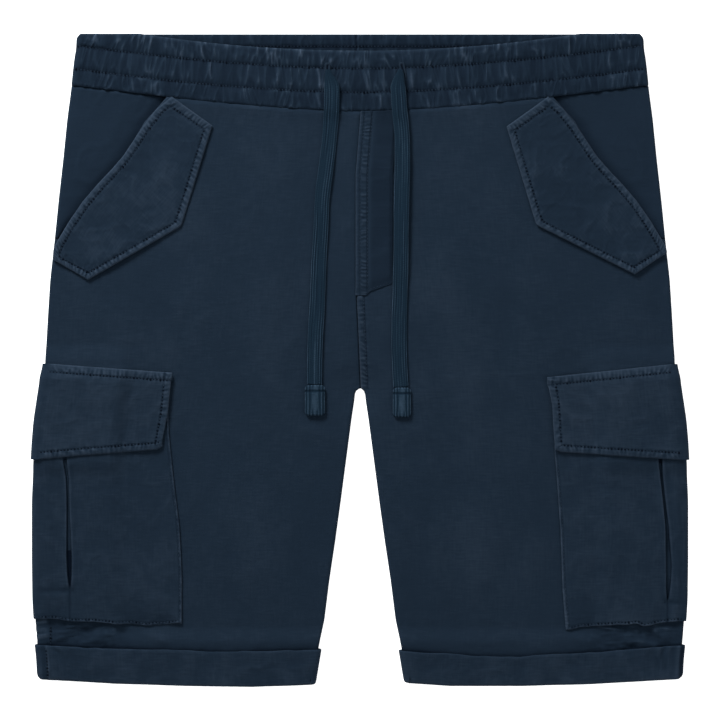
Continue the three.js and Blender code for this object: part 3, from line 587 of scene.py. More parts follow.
def face_way(mesh, up):
    """Turns an open sheet so that most of its face looks up, or down."""
    normals = np.empty(len(mesh.polygons) * 3)
    mesh.polygons.foreach_get("normal", normals)
    if (normals[2::3].mean() > 0) != up:
        mesh.flip_normals()


def flat_area(mesh):
    """Area of the flat cut in square metres, and its width and length, from the cloth's UVs."""
    corners = np.empty(len(mesh.loops) * 2)
    mesh.uv_layers["UVMap"].data.foreach_get("uv", corners)
    u, v = corners.reshape(-1, 4, 2)[:, :, 0], corners.reshape(-1, 4, 2)[:, :, 1]
    area = 0.5 * np.abs((u * np.roll(v, -1, 1) - v * np.roll(u, -1, 1)).sum(1)).sum()
    return float(area), float(np.ptp(u)), float(np.ptp(v))


def dress(name, mesh, node, material=TWILL, wall=0.0):
    """Links a finished mesh, gives it its wall and its material, puts it under the root body, and hides the
    node that it stands for, if there is one.
    """
    piece = bpy.data.objects.new(name, mesh)
    bpy.context.scene.collection.objects.link(piece)
    mesh.materials.append(material)
    mesh.shade_smooth()
    if wall:
        solidify = piece.modifiers.new("Wall", "SOLIDIFY")
        solidify.thickness = wall * MM
        solidify.offset = -1
        solidify.use_rim = True
    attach(piece, "root")
    if node:
        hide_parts(node)
    return piece


def as_cloth(piece):
    """Prints the size and area of a piece's own flat cut."""
    area, width, length = flat_area(piece.data)
    print(f"{piece.name}: cut {width * 1000:.0f} by {length * 1000:.0f} mm, {area * 1e4:.0f} cm2")


def lay_piece(name, node, grid, place, wall, material=TWILL, up=True):
    """A sheet of cloth from start to end: its grid, its wall, and its place under the root body."""
    mesh = lay_grid(name.replace("_", " "), *grid, place)
    face_way(mesh, up)
    as_cloth(dress(name, mesh, node, material, wall=wall))


# %% [markdown]
# ## Stitched edges
# Every free edge is turned under and topstitched. The turned layers puff up between the edge and
# the stitches, the stitches pull a groove, and after washing the thread has shrunk, so that the
# edge puckers. The rolled edge and the tops of the puckers are painted paler as highlight, the
# palest part of the whole garment, and the stitch groove is painted darker as shade.

# %% A stitched edge
def stitched_edge(edge, along, seed, inset=5.6, puff=0.4, pucker=0.32, pitch=3.8):
    """Height and relief at a distance from an edge that is stitched at the inset."""
    roll = -0.8 * (1 - np.clip(edge / 1.1, 0, 1)) ** 2
    welt = puff * bump(edge, inset * 0.45, inset * 0.42)
    groove = bump(edge, inset, 0.7)
    reach = bump(edge, inset * 0.7, inset * 0.5)
    wave = 0.7 * ripples(along, edge, seed, pitch) + 0.5 * ripples(along, edge, seed + 7, 2.3 * pitch)
    height = roll + welt - 0.45 * groove + pucker * wave * reach
    # paler: painted highlight on the rolled edge and the pucker tops, painted shade in the stitch groove.
    paler = 0.4 * fade(np.maximum(edge, 0), 0.9) + reach * (0.05 + 0.4 * wave) - 0.3 * groove
    return height, paler


STITCH_PITCH = 2.7
stitch_runs = []  # each is a list of points along a line of stitches, in millimetres


def run_of_stitches(points, with_hole_shade=True):
    """Records a line of stitches, and whether the shade in its needle holes is painted as dark dots."""
    stitch_runs.append((np.asarray(points, dtype=float), with_hole_shade))


print("stitches:", STITCH_PITCH, "mm from one to the next")

# %% [markdown]
# ## Leg panels
# The front panels start at the slanted pocket mouth and meet in the middle. The grid's columns
# run from the side fold or the mouth to the inside leg, and its rows from the waist seam to the
# turn-up. The rows are closer where there is more to show, as at the crumpled foot. The back panels
# are plain, because they lie on the table. A narrow strip of seam allowance lies behind the centre
# seam, so that the table doesn't shine through.

# %% Front panels
PANEL_TOP = 196  # the highest and lowest level row of a panel
PANEL_FOOT = -256
CLOSE_ROWS = [(104, 92), (54, -24), (-208, -234)]  # mouth's end, fly's end and crumpled foot: from Y to Y
PANEL_TOP_GAP = 0.04
TOP_REACH = 26
CENTRE_INSET = 5.5
WAIST_RISE = 1.9  # by how much the panels rise to meet the waistband
ALLOWANCE = 6  # half the width of the strip behind the seam
ALLOWANCE_TOP = 198


def blend_rows(level, top, bottom, levels):
    """Y for the rows of a panel whose top and bottom are curves and whose other rows are level."""
    high = top - (levels[0] - level) / TOP_REACH * (top - levels[0] + TOP_REACH)
    low = bottom + (level - levels[-1]) / TOP_REACH * (levels[-1] + TOP_REACH - bottom)
    y = np.where(level > levels[0] - TOP_REACH, high, level)
    return np.where(level < levels[-1] + TOP_REACH, low, y)


def row_levels(top, bottom, step, closer):
    """Levels from top to bottom, with closer steps in the given bands of Y."""
    levels = [top]
    while levels[-1] > bottom:
        y = levels[-1]
        near = any(high > y > low for high, low in closer)
        levels.append(y - (step / 2.5 if near else step))
    return [*levels[:-1], bottom]


def mouth_arc(y):
    reach = arc_at(look_up(MOUTH, y), y)
    return np.where(y > MOUTH_END, reach, SEAM_GAP / 2)


def across_panel(side, y, u, start, shares, margin):
    """Arc from a panel's outer edge to its inner one, with closer columns at both."""
    _, radius, _, whole = section(side, y)
    end = whole - np.where(radius > 0, SEAM_GAP / 2, 0)
    share = np.interp(u, shares, [0, 1, 2, 3])
    low, high = start + QUARTER, end - margin
    arc = start + share * QUARTER
    arc = np.where(share > 1, low + (high - low) * (share - 1), arc)
    return np.where(share > 2, high + margin * (share - 2), arc), end


def panel_rows(side, level, u, levels, start, shares, margin):
    """Arc, inner edge, distance and Y for a panel, settled by a few rounds."""
    y = level
    for _ in range(3):
        arc, end = across_panel(side, y, u, start(y), shares, margin)
        d = distance_at(arc, y)
        bottom = look_up(HEM[side], d) + CUFF_WALL + 2 * SEAM_GAP
        y = blend_rows(level, waist_seam(d) - PANEL_TOP_GAP, bottom, levels)
    return arc, end, d, y


def centre_seam_edge(side, to_seam, y):
    """The right front is felled over the seam and stitched below the fly; the left goes under it."""
    near = smooth((14 - to_seam) / 3) * (y > CROTCH_Y)
    # Relief here is painted light: on the left a faint painted shade along the seam under the felled edge,
    # on the right the stitched edge's painted highlight and shade.
    if side == "left":
        height, relief = -0.35 * fade(to_seam, 0.9), -0.1 * fade(to_seam, 1.0)
        return near * height, near * relief
    height, relief = stitched_edge(to_seam, y, 35, inset=CENTRE_INSET, puff=0.45, pucker=0.36)
    return near * height, 1.3 * near * relief


def side_seam_marks(side, d, y):
    """The side seam that shows below the cargo pocket: a groove beside a puckered strip, with the groove
    painted darker as shade and the puckers painted paler as highlight.
    """
    seam = SIDE_SEAM_D[side]
    below = smooth((-198 - y) / 4)
    groove = bump(d, seam, 0.9)
    strip = smooth((d - seam) / 1.5)
    wave = ripples(y, d, 37, 6)
    return (below * (0.35 * strip * (1 + 0.5 * wave) - 0.6 * groove),
            below * (strip * (0.22 + 0.3 * wave) - 0.7 * groove))


def front_panel(side):
    levels = row_levels(PANEL_TOP, PANEL_FOOT, 2.7, CLOSE_ROWS)

    def place(u, v):
        level = np.interp(1 - v, np.linspace(0, 1, len(levels)), levels)
        arc, end, d, y = panel_rows(side, level, u, levels, mouth_arc, (0, 0.07, 0.9, 1), 10)
        free = smooth((arc - QUARTER) / 6) * smooth((end - arc) / 5)
        height = drape(side, d, y) * free
        edge = np.where(level > MOUTH_END, arc - mouth_arc(y), 99)
        rolled, pale = stitched_edge(edge, y, 31, puff=0.15, pucker=0.12)
        centre, centre_pale = centre_seam_edge(side, end - arc, y)
        seam, seam_pale = side_seam_marks(side, d, y)
        below = np.maximum(waist_seam(d) - y, 0)
        to_cuff = np.maximum(y - look_up(CUFF_TOP[side], d), 0)
        # Painted light: raised folds and crumples paler, their hollows darker, and a painted shadow along
        # the top of the turn-up; the mouth edge, the centre seam and the side seam add their own painted
        # highlight and shade.
        relief = np.clip(height * 0.07, -0.08, 0.1) + 0.5 * bunched(side, d, y) - 0.85 * fade(to_cuff, 2.0)
        relief += np.where(edge < 20, pale * 0.7, 0) + centre_pale + seam_pale
        # A thin line of painted shade under the waist seam, with a faint paler band below it.
        seam_shade = 0.14 * (1 + 1.4 * noise(d / 14, 0 * d, 39))
        relief += 0.06 * fade(below, 7) - seam_shade * fade(below, 0.8)
        out = height + np.where(edge < 20, rolled * 0.7, 0) + centre + seam
        out += WAIST_RISE * fade(below, 8) * smooth((arc - QUARTER) / 6) - 0.3 * fade(below, 0.8)
        return on_leg(side, arc, y, out), np.stack([arc, y], 1), np.clip(relief, -0.8, 0.8)

    grid = (88, len(levels) - 1)
    lay_piece(f"Front_panel_{side}", f"front_leg_{side}", grid, place, CLOTH)
    if side == "left":
        down = np.linspace(-211, -228, 20)
        d = np.full(20, SIDE_SEAM_D[side] - 1.8)
        run_of_stitches(on_leg(side, arc_at(d, down), down, drape(side, d, down) + 0.1))


def back_panel(side):
    levels = row_levels(PANEL_TOP, PANEL_FOOT, 6, [(20, -96)])

    def place(u, v):
        level = np.interp(1 - v, np.linspace(0, 1, len(levels)), levels)
        edge = np.full_like(u, SEAM_GAP / 2)
        arc, end, _, y = panel_rows(side, level, u, levels, lambda y: edge, (0, 0.14, 0.88, 1), QUARTER)
        centre = np.where(y > CROTCH_Y, np.abs(end - arc), 99)
        pressed = 0.5 * fade(centre, 4) * np.maximum(ripples(y, centre, 77, 8), 0)
        # Ripples near the centre seam are painted paler and darker, as light and shade.
        relief = 0.3 * fade(centre, 5) * ripples(y, centre, 77, 8)
        return on_leg(side, -arc, y, -0.25 * pressed), np.stack([-arc, y], 1), relief

    grid = (56, len(levels) - 1)
    lay_piece(f"Back_panel_{side}", f"back_leg_{side}", grid, place, CLOTH, up=False)


def seam_allowance():
    """The two turned edges behind the centre-front seam, as one narrow strip inside the shorts."""
    def place(u, v):
        y = ALLOWANCE_TOP + (CROTCH_Y - ALLOWANCE_TOP) * v
        across = ALLOWANCE * (2 * u - 1)
        points = np.stack([look_up(CENTRE_SEAM, y) + across, y, leg_height(across, y) - 1.8], 1)
        # The strip is painted darker, as the shade inside the shorts.
        return points, np.stack([across, y], 1), -0.4 + 0 * u

    lay_piece("Seam_allowance", None, (6, 60), place, 0.5)


for side in SIDES:
    front_panel(side)
    back_panel(side)
seam_allowance()

# %% [markdown]
# ## Hip pockets
# Behind each slanted mouth lies the facing, which carries the side of the shorts up to the
# waist. The flap is sewn into the mouth and folded over it towards the middle, so it hides the
# mouth's stitches and throws a shadow on the panel below.

# %% Hip pocket facings
FACING_UNDERLAP = 12
FACING_TOP = 198
FACING_BEND = 170  # above it the rows follow the waist seam
SINK_REACH = 26  # how far before the mouth the facing sinks under the panel


def hip_facing(side):
    def place(u, v):
        level = MOUTH_END + (FACING_TOP - MOUTH_END) * v
        share = np.interp(u, [0, 0.18, 0.5, 0.8, 1], [0, 1, 2, 3, 4])
        y = level
        for _ in range(3):
            mouth = arc_at(look_up(MOUTH, y), y)
            sink = np.maximum(QUARTER + 0.2, mouth - SINK_REACH)
            stops = [np.full_like(u, SEAM_GAP / 2), np.full_like(u, QUARTER), sink, mouth - 0.4,
                     mouth + FACING_UNDERLAP]
            arc = along_stops(share, stops)
            top = waist_seam(distance_at(arc, y)) - PANEL_TOP_GAP
            bent = top - (FACING_TOP - level) / (FACING_TOP - FACING_BEND) * (top - FACING_BEND)
            y = np.where(level > FACING_BEND, bent, level)
        sunk = -1.5 * smooth((arc - sink) / np.maximum(mouth - 0.4 - sink, 0.5))
        open_cloth = smooth((arc - QUARTER) / 6) * smooth((mouth - arc) / 8)
        waves = open_cloth * (0.4 * noise(arc / 16, y / 40, 91) + 0.5 * creased(arc, y, 93, 26))
        below = np.maximum(top - y, 0)
        drawn = open_cloth * (0.3 * fade(below, 12) * ripples(arc, below, 92, 9) + 0.8 * fade(below, 7))
        # Painted shade: the facing darker all over and much darker towards the mouth, as the flap's shadow,
        # with a painted highlight on the side fold.
        relief = (0.1 * (waves + drawn) - 0.12 - 0.42 * smooth((arc - mouth + 13) / 13)
                  + 0.25 * fade(np.abs(arc), 3))
        return on_leg(side, arc, y, sunk + waves + drawn), np.stack([arc, y], 1), np.clip(relief, -0.7, 0.5)

    lay_piece(f"Hip_facing_{side}", f"hip_facing_{side}", (70, 60), place, CLOTH)


# %% Hip pocket flaps
HIP_FLAP = {
    "left": {"top": (117.4, 187.3), "inner": (142.4, 106.7), "point": (217.4, 63.4), "end": 79.6},
    "right": {"top": (116.6, 186.5), "inner": (140.5, 107.4), "point": (219.5, 67.9), "end": 85.4},
}
FLAP_FOLD = [  # Y, D of the edge along the pocket mouth
    (210, 150), (200.4, 162), (186.4, 173), (174.4, 181), (162.4, 189), (150.4, 199.5), (140.4, 209),
    (126.4, 221), (110.4, 232), (94.4, 241.5), (87.6, 244.5), (79.6, 244),
]
FLAP_FOLD_TOP = 210
FLAP_LONG = 160
FLAP_SHORTER = 24  # by how much the free edge is shorter than the sewn one
FLAP_INSET = 5.6


def arc_near(d, y):
    """Arc for a distance out, also a little way over the side fold."""
    inside = side_edge(y) - d
    turn = np.arccos(np.clip(1 - np.maximum(inside, 1.6) / SIDE_RADIUS, -1, 1))
    return np.where(inside > SIDE_RADIUS, arc_at(d, y), SIDE_RADIUS * np.minimum(turn, math.pi / 2))


def hip_flap(side):
    shape = HIP_FLAP[side]
    seed = 141 if side == "right" else 41
    top, inner, point = (np.array(shape[key]) for key in ("top", "inner", "point"))
    first, second = np.linalg.norm(inner - top), np.linalg.norm(point - inner)
    share = first / (first + second)

    def sewn(part):
        y = FLAP_FOLD_TOP + (shape["end"] - FLAP_FOLD_TOP) * part
        return np.stack([look_up(FLAP_FOLD, y), y], 1)

    def free(part):
        early = top + (inner - top) * np.clip(part / share, 0, 1)[:, None]
        late = inner + (point - inner) * np.clip((part - share) / (1 - share), 0, 1)[:, None]
        return np.where((part < share)[:, None], early, late)

    def rounded_free(part):
        soft = 0.012
        return (free(np.clip(part - soft, 0, 1)) + 2 * free(part) + free(np.clip(part + soft, 0, 1))) / 4

    def span(u):
        return np.linalg.norm(free(u) - sewn(u), axis=1)

    def surface(u, v):
        spots = sewn(u) * (1 - v[:, None]) + rounded_free(u) * v[:, None]
        d, y = spots.T
        length = FLAP_LONG - FLAP_SHORTER * v
        to_end, to_free, to_sewn = np.minimum(u, 1 - u) * length, (1 - v) * span(u), v * span(u)
        edge = np.minimum(np.minimum(to_end, to_free), to_sewn)
        along = np.where(to_end < np.minimum(to_free, to_sewn), to_sewn, u * length)
        height, pale = stitched_edge(edge, along, seed, inset=FLAP_INSET, pucker=0.36, pitch=3.1)
        inside = smooth((edge - 4) / 7)
        belly = (0.45 * noise(d / 22, y / 22, seed + 2) + 0.5 * creased(d, y, seed + 3, 19)
                 + 0.3 * creased(d, y, seed + 5, 8))
        curl = 0.8 * smooth(1 - to_free / 24) * (0.5 + 0.5 * noise(u * 5, v, seed + 8))
        lifted = 0.9 * bump(to_sewn, 4, 5)
        total = FLAP_LAYER + height + lifted + (0.4 + belly) * inside + curl
        # Painted light: the band outside the stitches, the rolled edges and the pucker tops paler as
        # highlight, the belly's hollows darker as shade.
        rim = 0.1 * smooth((FLAP_INSET + 1 - edge) / 2)
        relief = 1.3 * pale + rim + inside * (0.22 * (belly - 0.4))
        return (on_leg(side, arc_near(d, y), y, total), np.stack([u * length, to_sewn], 1),
                np.clip(relief, -0.75, 0.95))

    def place(u, v):
        return surface(packed(u, 0.7), packed(v, 0.7))

    lay_piece(f"Hip_flap_{side}", f"hip_flap_{side}", (190, 70), place, 1.3, DOUBLED)

    run = np.linspace(0.035, 0.965, 90)
    inset = FLAP_INSET / span(run)
    run_of_stitches(surface(run, inset)[0])
    run_of_stitches(surface(run, 1 - inset)[0])
    for end in (0.0, 1.0):
        step = np.linspace(0.16, 0.84, 24)
        in_from_end = FLAP_INSET / (FLAP_LONG - FLAP_SHORTER * step)
        run_of_stitches(surface(np.abs(end - in_from_end), step)[0])


for side in SIDES:
    hip_facing(side)
    hip_flap(side)

# %% [markdown]
# ## Cargo pockets
# The patch pocket sits over the side fold, with a third of it on the back. An inverted pleat runs
# down its middle: two folded edges that meet over a deep slit. Near the foot the two edges are
# sewn together and pressed. The flap covers the pocket's mouth and hangs free at its lower edge.

# %% Cargo pockets
CARGO_POCKET = {  # inner: Y, D; bottom: D, Y; pleat: Y, D
    "left": {
        "inner": [(-20, 154), (-61, 152), (-95.6, 148.4), (-132.3, 143.8), (-169, 142), (-212, 142)],
        "bottom": [(142, -209.8), (170.5, -211.3), (207.2, -209.4), (262, -206)],
        "pleat": [(-20, 236), (-79.9, 234.7), (-95.6, 232.9), (-183.6, 231), (-212, 231)],
        "pleat_end": -183.6,
    },
    "right": {
        "inner": [(-20, 154), (-74.4, 155.2), (-95.6, 157), (-132.3, 159.8), (-178.2, 161.6), (-212, 165)],
        "bottom": [(162, -215), (186, -213), (202, -211), (221, -209.6), (226, -211.6), (240, -210),
                   (262, -207.4)],
        "pleat": [(-20, 236), (-79.9, 238.8), (-132.3, 244.5), (-163.6, 246), (-193, 245), (-212, 245)],
        "pleat_end": -193,
    },
}
POCKET_TOP = -20
POCKET_FOOT = -209
PLEAT_TOP = -76
PLEAT_GAPE = [  # share of the way down, half width of the slit
    (0, 1.3), (0.12, 0.75), (0.3, 0.6), (0.45, 0.85), (0.62, 1.35), (0.75, 1.8), (0.88, 1.4), (1, 0.2),
]
POCKET_INSET = 1.9


def slit_half_width(y, end):
    """The pleat gapes at its top and again near its foot."""
    return look_up(PLEAT_GAPE, (PLEAT_TOP - y) / (PLEAT_TOP - end))


def cargo_pocket(side):
    shape = CARGO_POCKET[side]
    seed = 161 if side == "right" else 61

    def foot_line(arc, y):
        uneven = 0.9 * noise(arc / 16, 0 * arc, seed + 8) + 0.4 * noise(arc / 6, 0 * arc, seed + 9)
        return look_up(shape["bottom"], distance_at(arc, y)) + uneven * smooth((arc - QUARTER) / 5)

    def surface(arc, y):
        end = arc_at(look_up(shape["inner"], y), y)
        middle = arc_at(look_up(shape["pleat"], y), y)
        bottom = foot_line(arc, y)
        to_side, to_bottom, away = end - arc, np.maximum(y - bottom, 0), arc - middle
        front = smooth((arc - QUARTER) / 5)
        open_pleat = smooth((PLEAT_TOP - y) / 6) * smooth((y - shape["pleat_end"]) / 6)
        half = slit_half_width(y, shape["pleat_end"])
        dark = smooth((half + 0.5 - np.abs(away)) / 0.7)
        lips = 0.8 * bump(np.abs(away) - half, 1.6, 3.0) - 2.4 * dark
        edge = np.minimum(to_side, to_bottom)
        along = np.where(to_side < to_bottom, y, arc)
        height, pale = stitched_edge(edge, along, seed, inset=POCKET_INSET, puff=0.3, pucker=0.3, pitch=4.5)
        low_wave = fade(to_bottom, 10) * (0.9 * noise(arc / 13, 0 * y, seed + 3)
                                          + 0.35 * noise(arc / 5, 0 * y, seed + 4))
        belly = 0.55 * noise(arc / 30, y / 36, seed + 5) + 0.45 * creased(arc, y, seed + 6, 34)
        side_folds = 0.35 * ripples(arc, y / 6, seed + 9, 9) * smooth((middle - arc) / 5)
        tack = bump(y, shape["pleat_end"], 1.3) * (arc < middle + 3)
        closed = bump(away, 0, 0.8) * (y < shape["pleat_end"]) * 0.35
        full = 0.6 * smooth(edge / 16) * smooth(np.abs(away) / 12)
        total = height + lips * open_pleat + low_wave - 0.6 * tack - closed + full
        total += (belly + side_folds) * smooth(edge / 12) * smooth(np.abs(away) / 7)
        total = POCKET_LAYER + front * np.maximum(total, -1.7)
        # Painted light: a dotted highlight along the edge, paler puckers and waves, darker tack and sewn
        # pleat, and deep painted shade in the pleat's slit.
        beads = 0.5 + 0.5 * np.sin(2 * math.pi * along / STITCH_PITCH)
        relief = (0.9 * pale + 0.4 * beads * fade(np.maximum(edge, 0), 0.9) + 0.2 * low_wave - 0.3 * tack
                  - closed + 0.05 * (belly + side_folds))
        relief += open_pleat * (0.18 * bump(np.abs(away) - half, 1.1, 0.9) - 1.5 * dark)
        total = np.where(arc < 0, np.minimum(total, POCKET_LAYER), total)
        return on_leg(side, arc, y, total), np.stack([arc, y], 1), np.clip(front * relief, -1, 0.95)

    def place(u, v):
        v = packed(v, 0.6)
        level = POCKET_TOP + (POCKET_FOOT - POCKET_TOP) * v
        end = arc_at(look_up(shape["inner"], level), level)
        middle = arc_at(look_up(shape["pleat"], level), level)
        before, after = np.maximum(middle - 6, QUARTER + 1), middle + 6
        stops = [-WRAP + 0 * u, -QUARTER + 0 * u, QUARTER + 0 * u, before, after, end - 10, end]
        share = np.interp(u, [0, 0.06, 0.15, 0.23, 0.5, 0.85, 1], range(7))
        arc = along_stops(share, stops)
        bottom = foot_line(arc, level)
        return surface(arc, POCKET_TOP + (bottom - POCKET_TOP) * v)

    lay_piece(f"Cargo_pocket_{side}", f"cargo_pocket_{side}", (112, 100), place, 1.1, DOUBLED)

    down = np.linspace(-82, POCKET_FOOT + 3, 90)
    run_of_stitches(surface(arc_at(look_up(shape["inner"], down), down) - POCKET_INSET, down)[0],
                    with_hole_shade=False)
    across = np.linspace(float(arc_at(look_up(shape["inner"], POCKET_FOOT), POCKET_FOOT)) - POCKET_INSET,
                         QUARTER, 90)
    row = foot_line(across, POCKET_FOOT) + POCKET_INSET
    run_of_stitches(surface(across, row)[0])

# %% Cargo flaps
CARGO_FLAP = {  # top: D, Y; inner: Y, D; bottom: D, Y
    "left": {
        "top": [(148, -10.2), (260, -2.0)], "inner": [(-10, 149.6), (-43.2, 153), (-68, 157.6)],
        "bottom": [(157, -68.5), (162, -71.6), (214.6, -75.4), (262, -79.6)],
    },
    "right": {
        "top": [(148, -13.8), (260, -2.0)], "inner": [(-13, 148.8), (-32.2, 152.5), (-72.6, 155.2)],
        "bottom": [(155, -71.6), (160, -73.4), (202, -76.2), (262, -79.8)],
    },
}
TOP_STITCH = 6.5
RIM_STITCH = 5.6
FLAP_LEVELS = (-6, -74)


def cargo_flap(side):
    shape = CARGO_FLAP[side]
    seed = 181 if side == "right" else 81

    def surface(arc, y):
        end = arc_at(look_up(shape["inner"], y), y)
        d = distance_at(arc, y)
        to_inner, to_bottom, to_top = (end - arc, y - look_up(shape["bottom"], d),
                                       look_up(shape["top"], d) - y)
        front = smooth((arc - QUARTER) / 5)
        edge = np.minimum(to_inner, to_bottom)
        along = np.where(to_inner < to_bottom, y, arc)
        height, pale = stitched_edge(edge, along, seed, inset=RIM_STITCH, puff=0.4, pucker=0.3)
        upper, upper_pale = stitched_edge(to_top, arc, seed + 2, inset=TOP_STITCH, puff=0.5, pucker=0.36,
                                          pitch=3.4)
        belly = 0.15 * noise(arc / 26, y / 26, seed + 4) + 0.45 * creased(arc, y, seed + 5, 20)
        inside = smooth(edge / 8) * smooth((to_top - TOP_STITCH) / 6)
        curl = 0.9 * smooth(1 - to_bottom / 22) * (0.6 + 0.4 * noise(arc / 30, y * 0, seed + 6))
        total = FLAP_WALL + front * (height + upper + (0.4 + belly) * inside + curl)
        # Painted light: rolled edges and puckers paler as highlight, stitch grooves and the belly's hollows
        # darker as shade.
        relief = front * (pale + upper_pale + 0.14 * (belly - 0.2) * inside + 0.07)
        total = np.where(arc < 0, np.minimum(total, FLAP_WALL), total)
        raised = SEAM_GAP + POCKET_LAYER * smooth((-2 - y) / 14)
        return on_leg(side, arc, y, raised + total), np.stack([arc, y], 1), np.clip(relief, -0.8, 1)

    def place(u, v):
        v = packed(v, 0.7)
        level = FLAP_LEVELS[0] + (FLAP_LEVELS[1] - FLAP_LEVELS[0]) * v
        end = arc_at(look_up(shape["inner"], level), level)
        stops = [-FLAP_WRAP + 0 * u, -QUARTER + 0 * u, QUARTER + 0 * u, end - 11, end]
        share = np.interp(u, [0, 0.06, 0.15, 0.86, 1], range(5))
        share = np.where(share > 3, 4 - (4 - np.minimum(share, 4)) ** 1.3, share)
        arc = along_stops(share, stops)
        d = distance_at(arc, level)
        top, bottom = look_up(shape["top"], d), look_up(shape["bottom"], d)
        return surface(arc, top + (bottom - top) * v)

    lay_piece(f"Cargo_flap_{side}", f"cargo_flap_{side}", (130, 76), place, 1.3, DOUBLED)

    steps = np.linspace(QUARTER, float(arc_at(151, -14)) - 1, 90)
    run_of_stitches(surface(steps, look_up(shape["top"], distance_at(steps, -6)) - TOP_STITCH)[0])
    steps = np.linspace(QUARTER, float(arc_at(159, -68)) - 1, 90)
    run_of_stitches(surface(steps, look_up(shape["bottom"], distance_at(steps, -74)) + RIM_STITCH)[0])
    down = np.linspace(-19, -66, 30)
    run_of_stitches(surface(arc_at(look_up(shape["inner"], down), down) - RIM_STITCH, down)[0])


for side in SIDES:
    cargo_pocket(side)
    cargo_flap(side)

# %% [markdown]
# ## Turn-ups
# The leg's end is folded out and up. It is one band of cloth whose section goes down the outside,
# round the bottom fold and up a little inside, and which runs all round the leg. Here the grid is
# closed both ways, and its doubled edges are merged.

# %% Turn-ups
SIDE_SEAM = {"left": 6.4, "right": 2.4}  # arc distance of the side seam on the turn-up
TURN_UP_UV = 28  # its depth inside the folds, for the weave
CORNER = {"left": 2.4, "right": 2.0}  # radius of the bottom corners at the side
CUFF_SECTION = [  # share of the way round, distance out, share of the way down
    (0, CUFF_LAYER - 0.5, 0), (0.03, CUFF_LAYER, 0.03), (0.16, CUFF_LAYER, 0.3), (0.3, CUFF_LAYER, 0.6),
    (0.42, CUFF_LAYER, 0.88), (0.48, CUFF_LAYER - 0.3, 0.97), (0.53, 1.0, 1.0), (0.58, -0.6, 1.0),
    (0.62, -CLOTH, 0.97), (0.65, -CLOTH, 0.93), (0.7, SEAM_GAP, 0.92), (0.82, SEAM_GAP, 0.5),
    (0.94, SEAM_GAP, 0.02), (0.98, CUFF_LAYER - 0.9, 0), (1, CUFF_LAYER - 0.5, 0),
]


def corner_drop(d, outer, radius):
    """How far a corner is rounded off, at a distance out."""
    inside = np.clip(d - (outer - radius), 0, radius)
    return radius - np.sqrt(radius**2 - inside**2)


def cuff(side):
    _, _, flat_end, whole = (float(v[0]) for v in section(side, np.array([-245.0])))
    seed = 201 if side == "right" else 101

    def place(u, v):
        out, share = look_up(CUFF_SECTION, v), look_up(CUFF_SECTION, v, 2)
        turns = [0, QUARTER, flat_end, whole, 2 * whole - flat_end, 2 * whole - QUARTER, 2 * whole]
        lap = np.interp(u, [0, 0.04, 0.46, 0.5, 0.54, 0.96, 1], turns)
        arc = np.where(lap > whole, lap - 2 * whole, lap)
        d = distance_at(arc, -245.0)
        d = np.where(np.abs(arc) < QUARTER, d + SIDE_RADIUS * np.cos(np.abs(arc) / SIDE_RADIUS), d)
        wander = (0.6 * noise(d / 24, np.zeros_like(d), seed)
                  + 0.25 * noise(d / 7, np.zeros_like(d), seed + 9))
        top = look_up(CUFF_TOP[side], d) + wander
        bottom = (look_up(HEM[side], d) + corner_drop(d, float(side_edge(np.array([-250.0]))[0]),
                                                      CORNER[side]))
        y = top + (bottom - top) * share
        here = section(side, y)[3]
        near_fold = np.abs(arc) > flat_end
        placed = np.where(near_fold, np.sign(arc + 1e-9) * (here - (whole - np.abs(arc))), arc)
        to_top, to_bottom = top - y, y - bottom
        waves = 0.5 * noise(d / 19, y / 16, seed + 1) + 0.5 * creased(d, y, seed + 2, 17)
        waves += 0.22 * ripples(d, to_top, seed + 3, 11) * fade(to_top, 7)
        waves += 0.2 * ripples(d, to_bottom, seed + 4, 7) * fade(to_bottom, 6)
        waves += 0.8 * bump(np.abs(arc), 17, 6) * ripples(arc, y, seed + 6, 8)
        rise = waves * smooth((np.abs(arc) - 1) / 4) * smooth((whole - np.abs(arc)) / 4)
        groove = bump(arc, SIDE_SEAM[side], 0.9)
        ridge = bump(arc - SIDE_SEAM[side], 2, 1.0)
        front = (arc > 0) & (out > 1)
        out = np.where(front, out + rise + 0.3 - 0.8 * groove + 0.3 * ridge, out)
        # Painted light: the bottom fold and the ridge beside the side seam paler as highlight, the side
        # seam's groove darker as shade.
        relief = (0.1 * rise + 0.05 * fade(to_top, 1.0) + 0.3 * fade(to_bottom, 1.6) - 0.7 * groove
                  + 0.4 * ridge)
        return (on_leg(side, placed, y, out), np.stack([lap, share * TURN_UP_UV], 1),
                np.clip(front * relief, -0.75, 0.85))

    if side == "left":
        step = np.linspace(0.05, 0.46, 40)
        beside = 0.04 + 0.42 * (SIDE_SEAM[side] + 1.8 - QUARTER) / (flat_end - QUARTER)
        run_of_stitches(place(np.full(40, beside), step)[0])
    mesh = lay_grid(f"Turn-up {side}", 300, 36, place, closed=True)
    piece = dress(f"Cuff_{side}", mesh, f"cuff_{side}", DOUBLED)


for side in SIDES:
    cuff(side)

# %% [markdown]
# ## Waistband
# Wide elastic runs inside the waistband in three channels, and two rows of stitches keep it from
# turning. Where it shrinks, the cloth stands in narrow upright gathers. They don't run through:
# each channel has its own, so they shift a little at every row of stitches. Sharp and broad ones
# are placed one by one, and finer ones that lean and fork come from noise.

# %% The form of the waistband
BAND_EDGE = float(side_edge(np.array([240.0]))[0])
BAND_HALF = BAND_QUARTER + BAND_EDGE - BAND_RADIUS
GATHER_HALF = BAND_HALF - BAND_QUARTER
BAND_CORNER = 4.5
BAND_DEPTH = 44
DRAWN_IN = 1.25  # how much more cloth than length there is in the gathered band
LANES = (0, 1, 2)


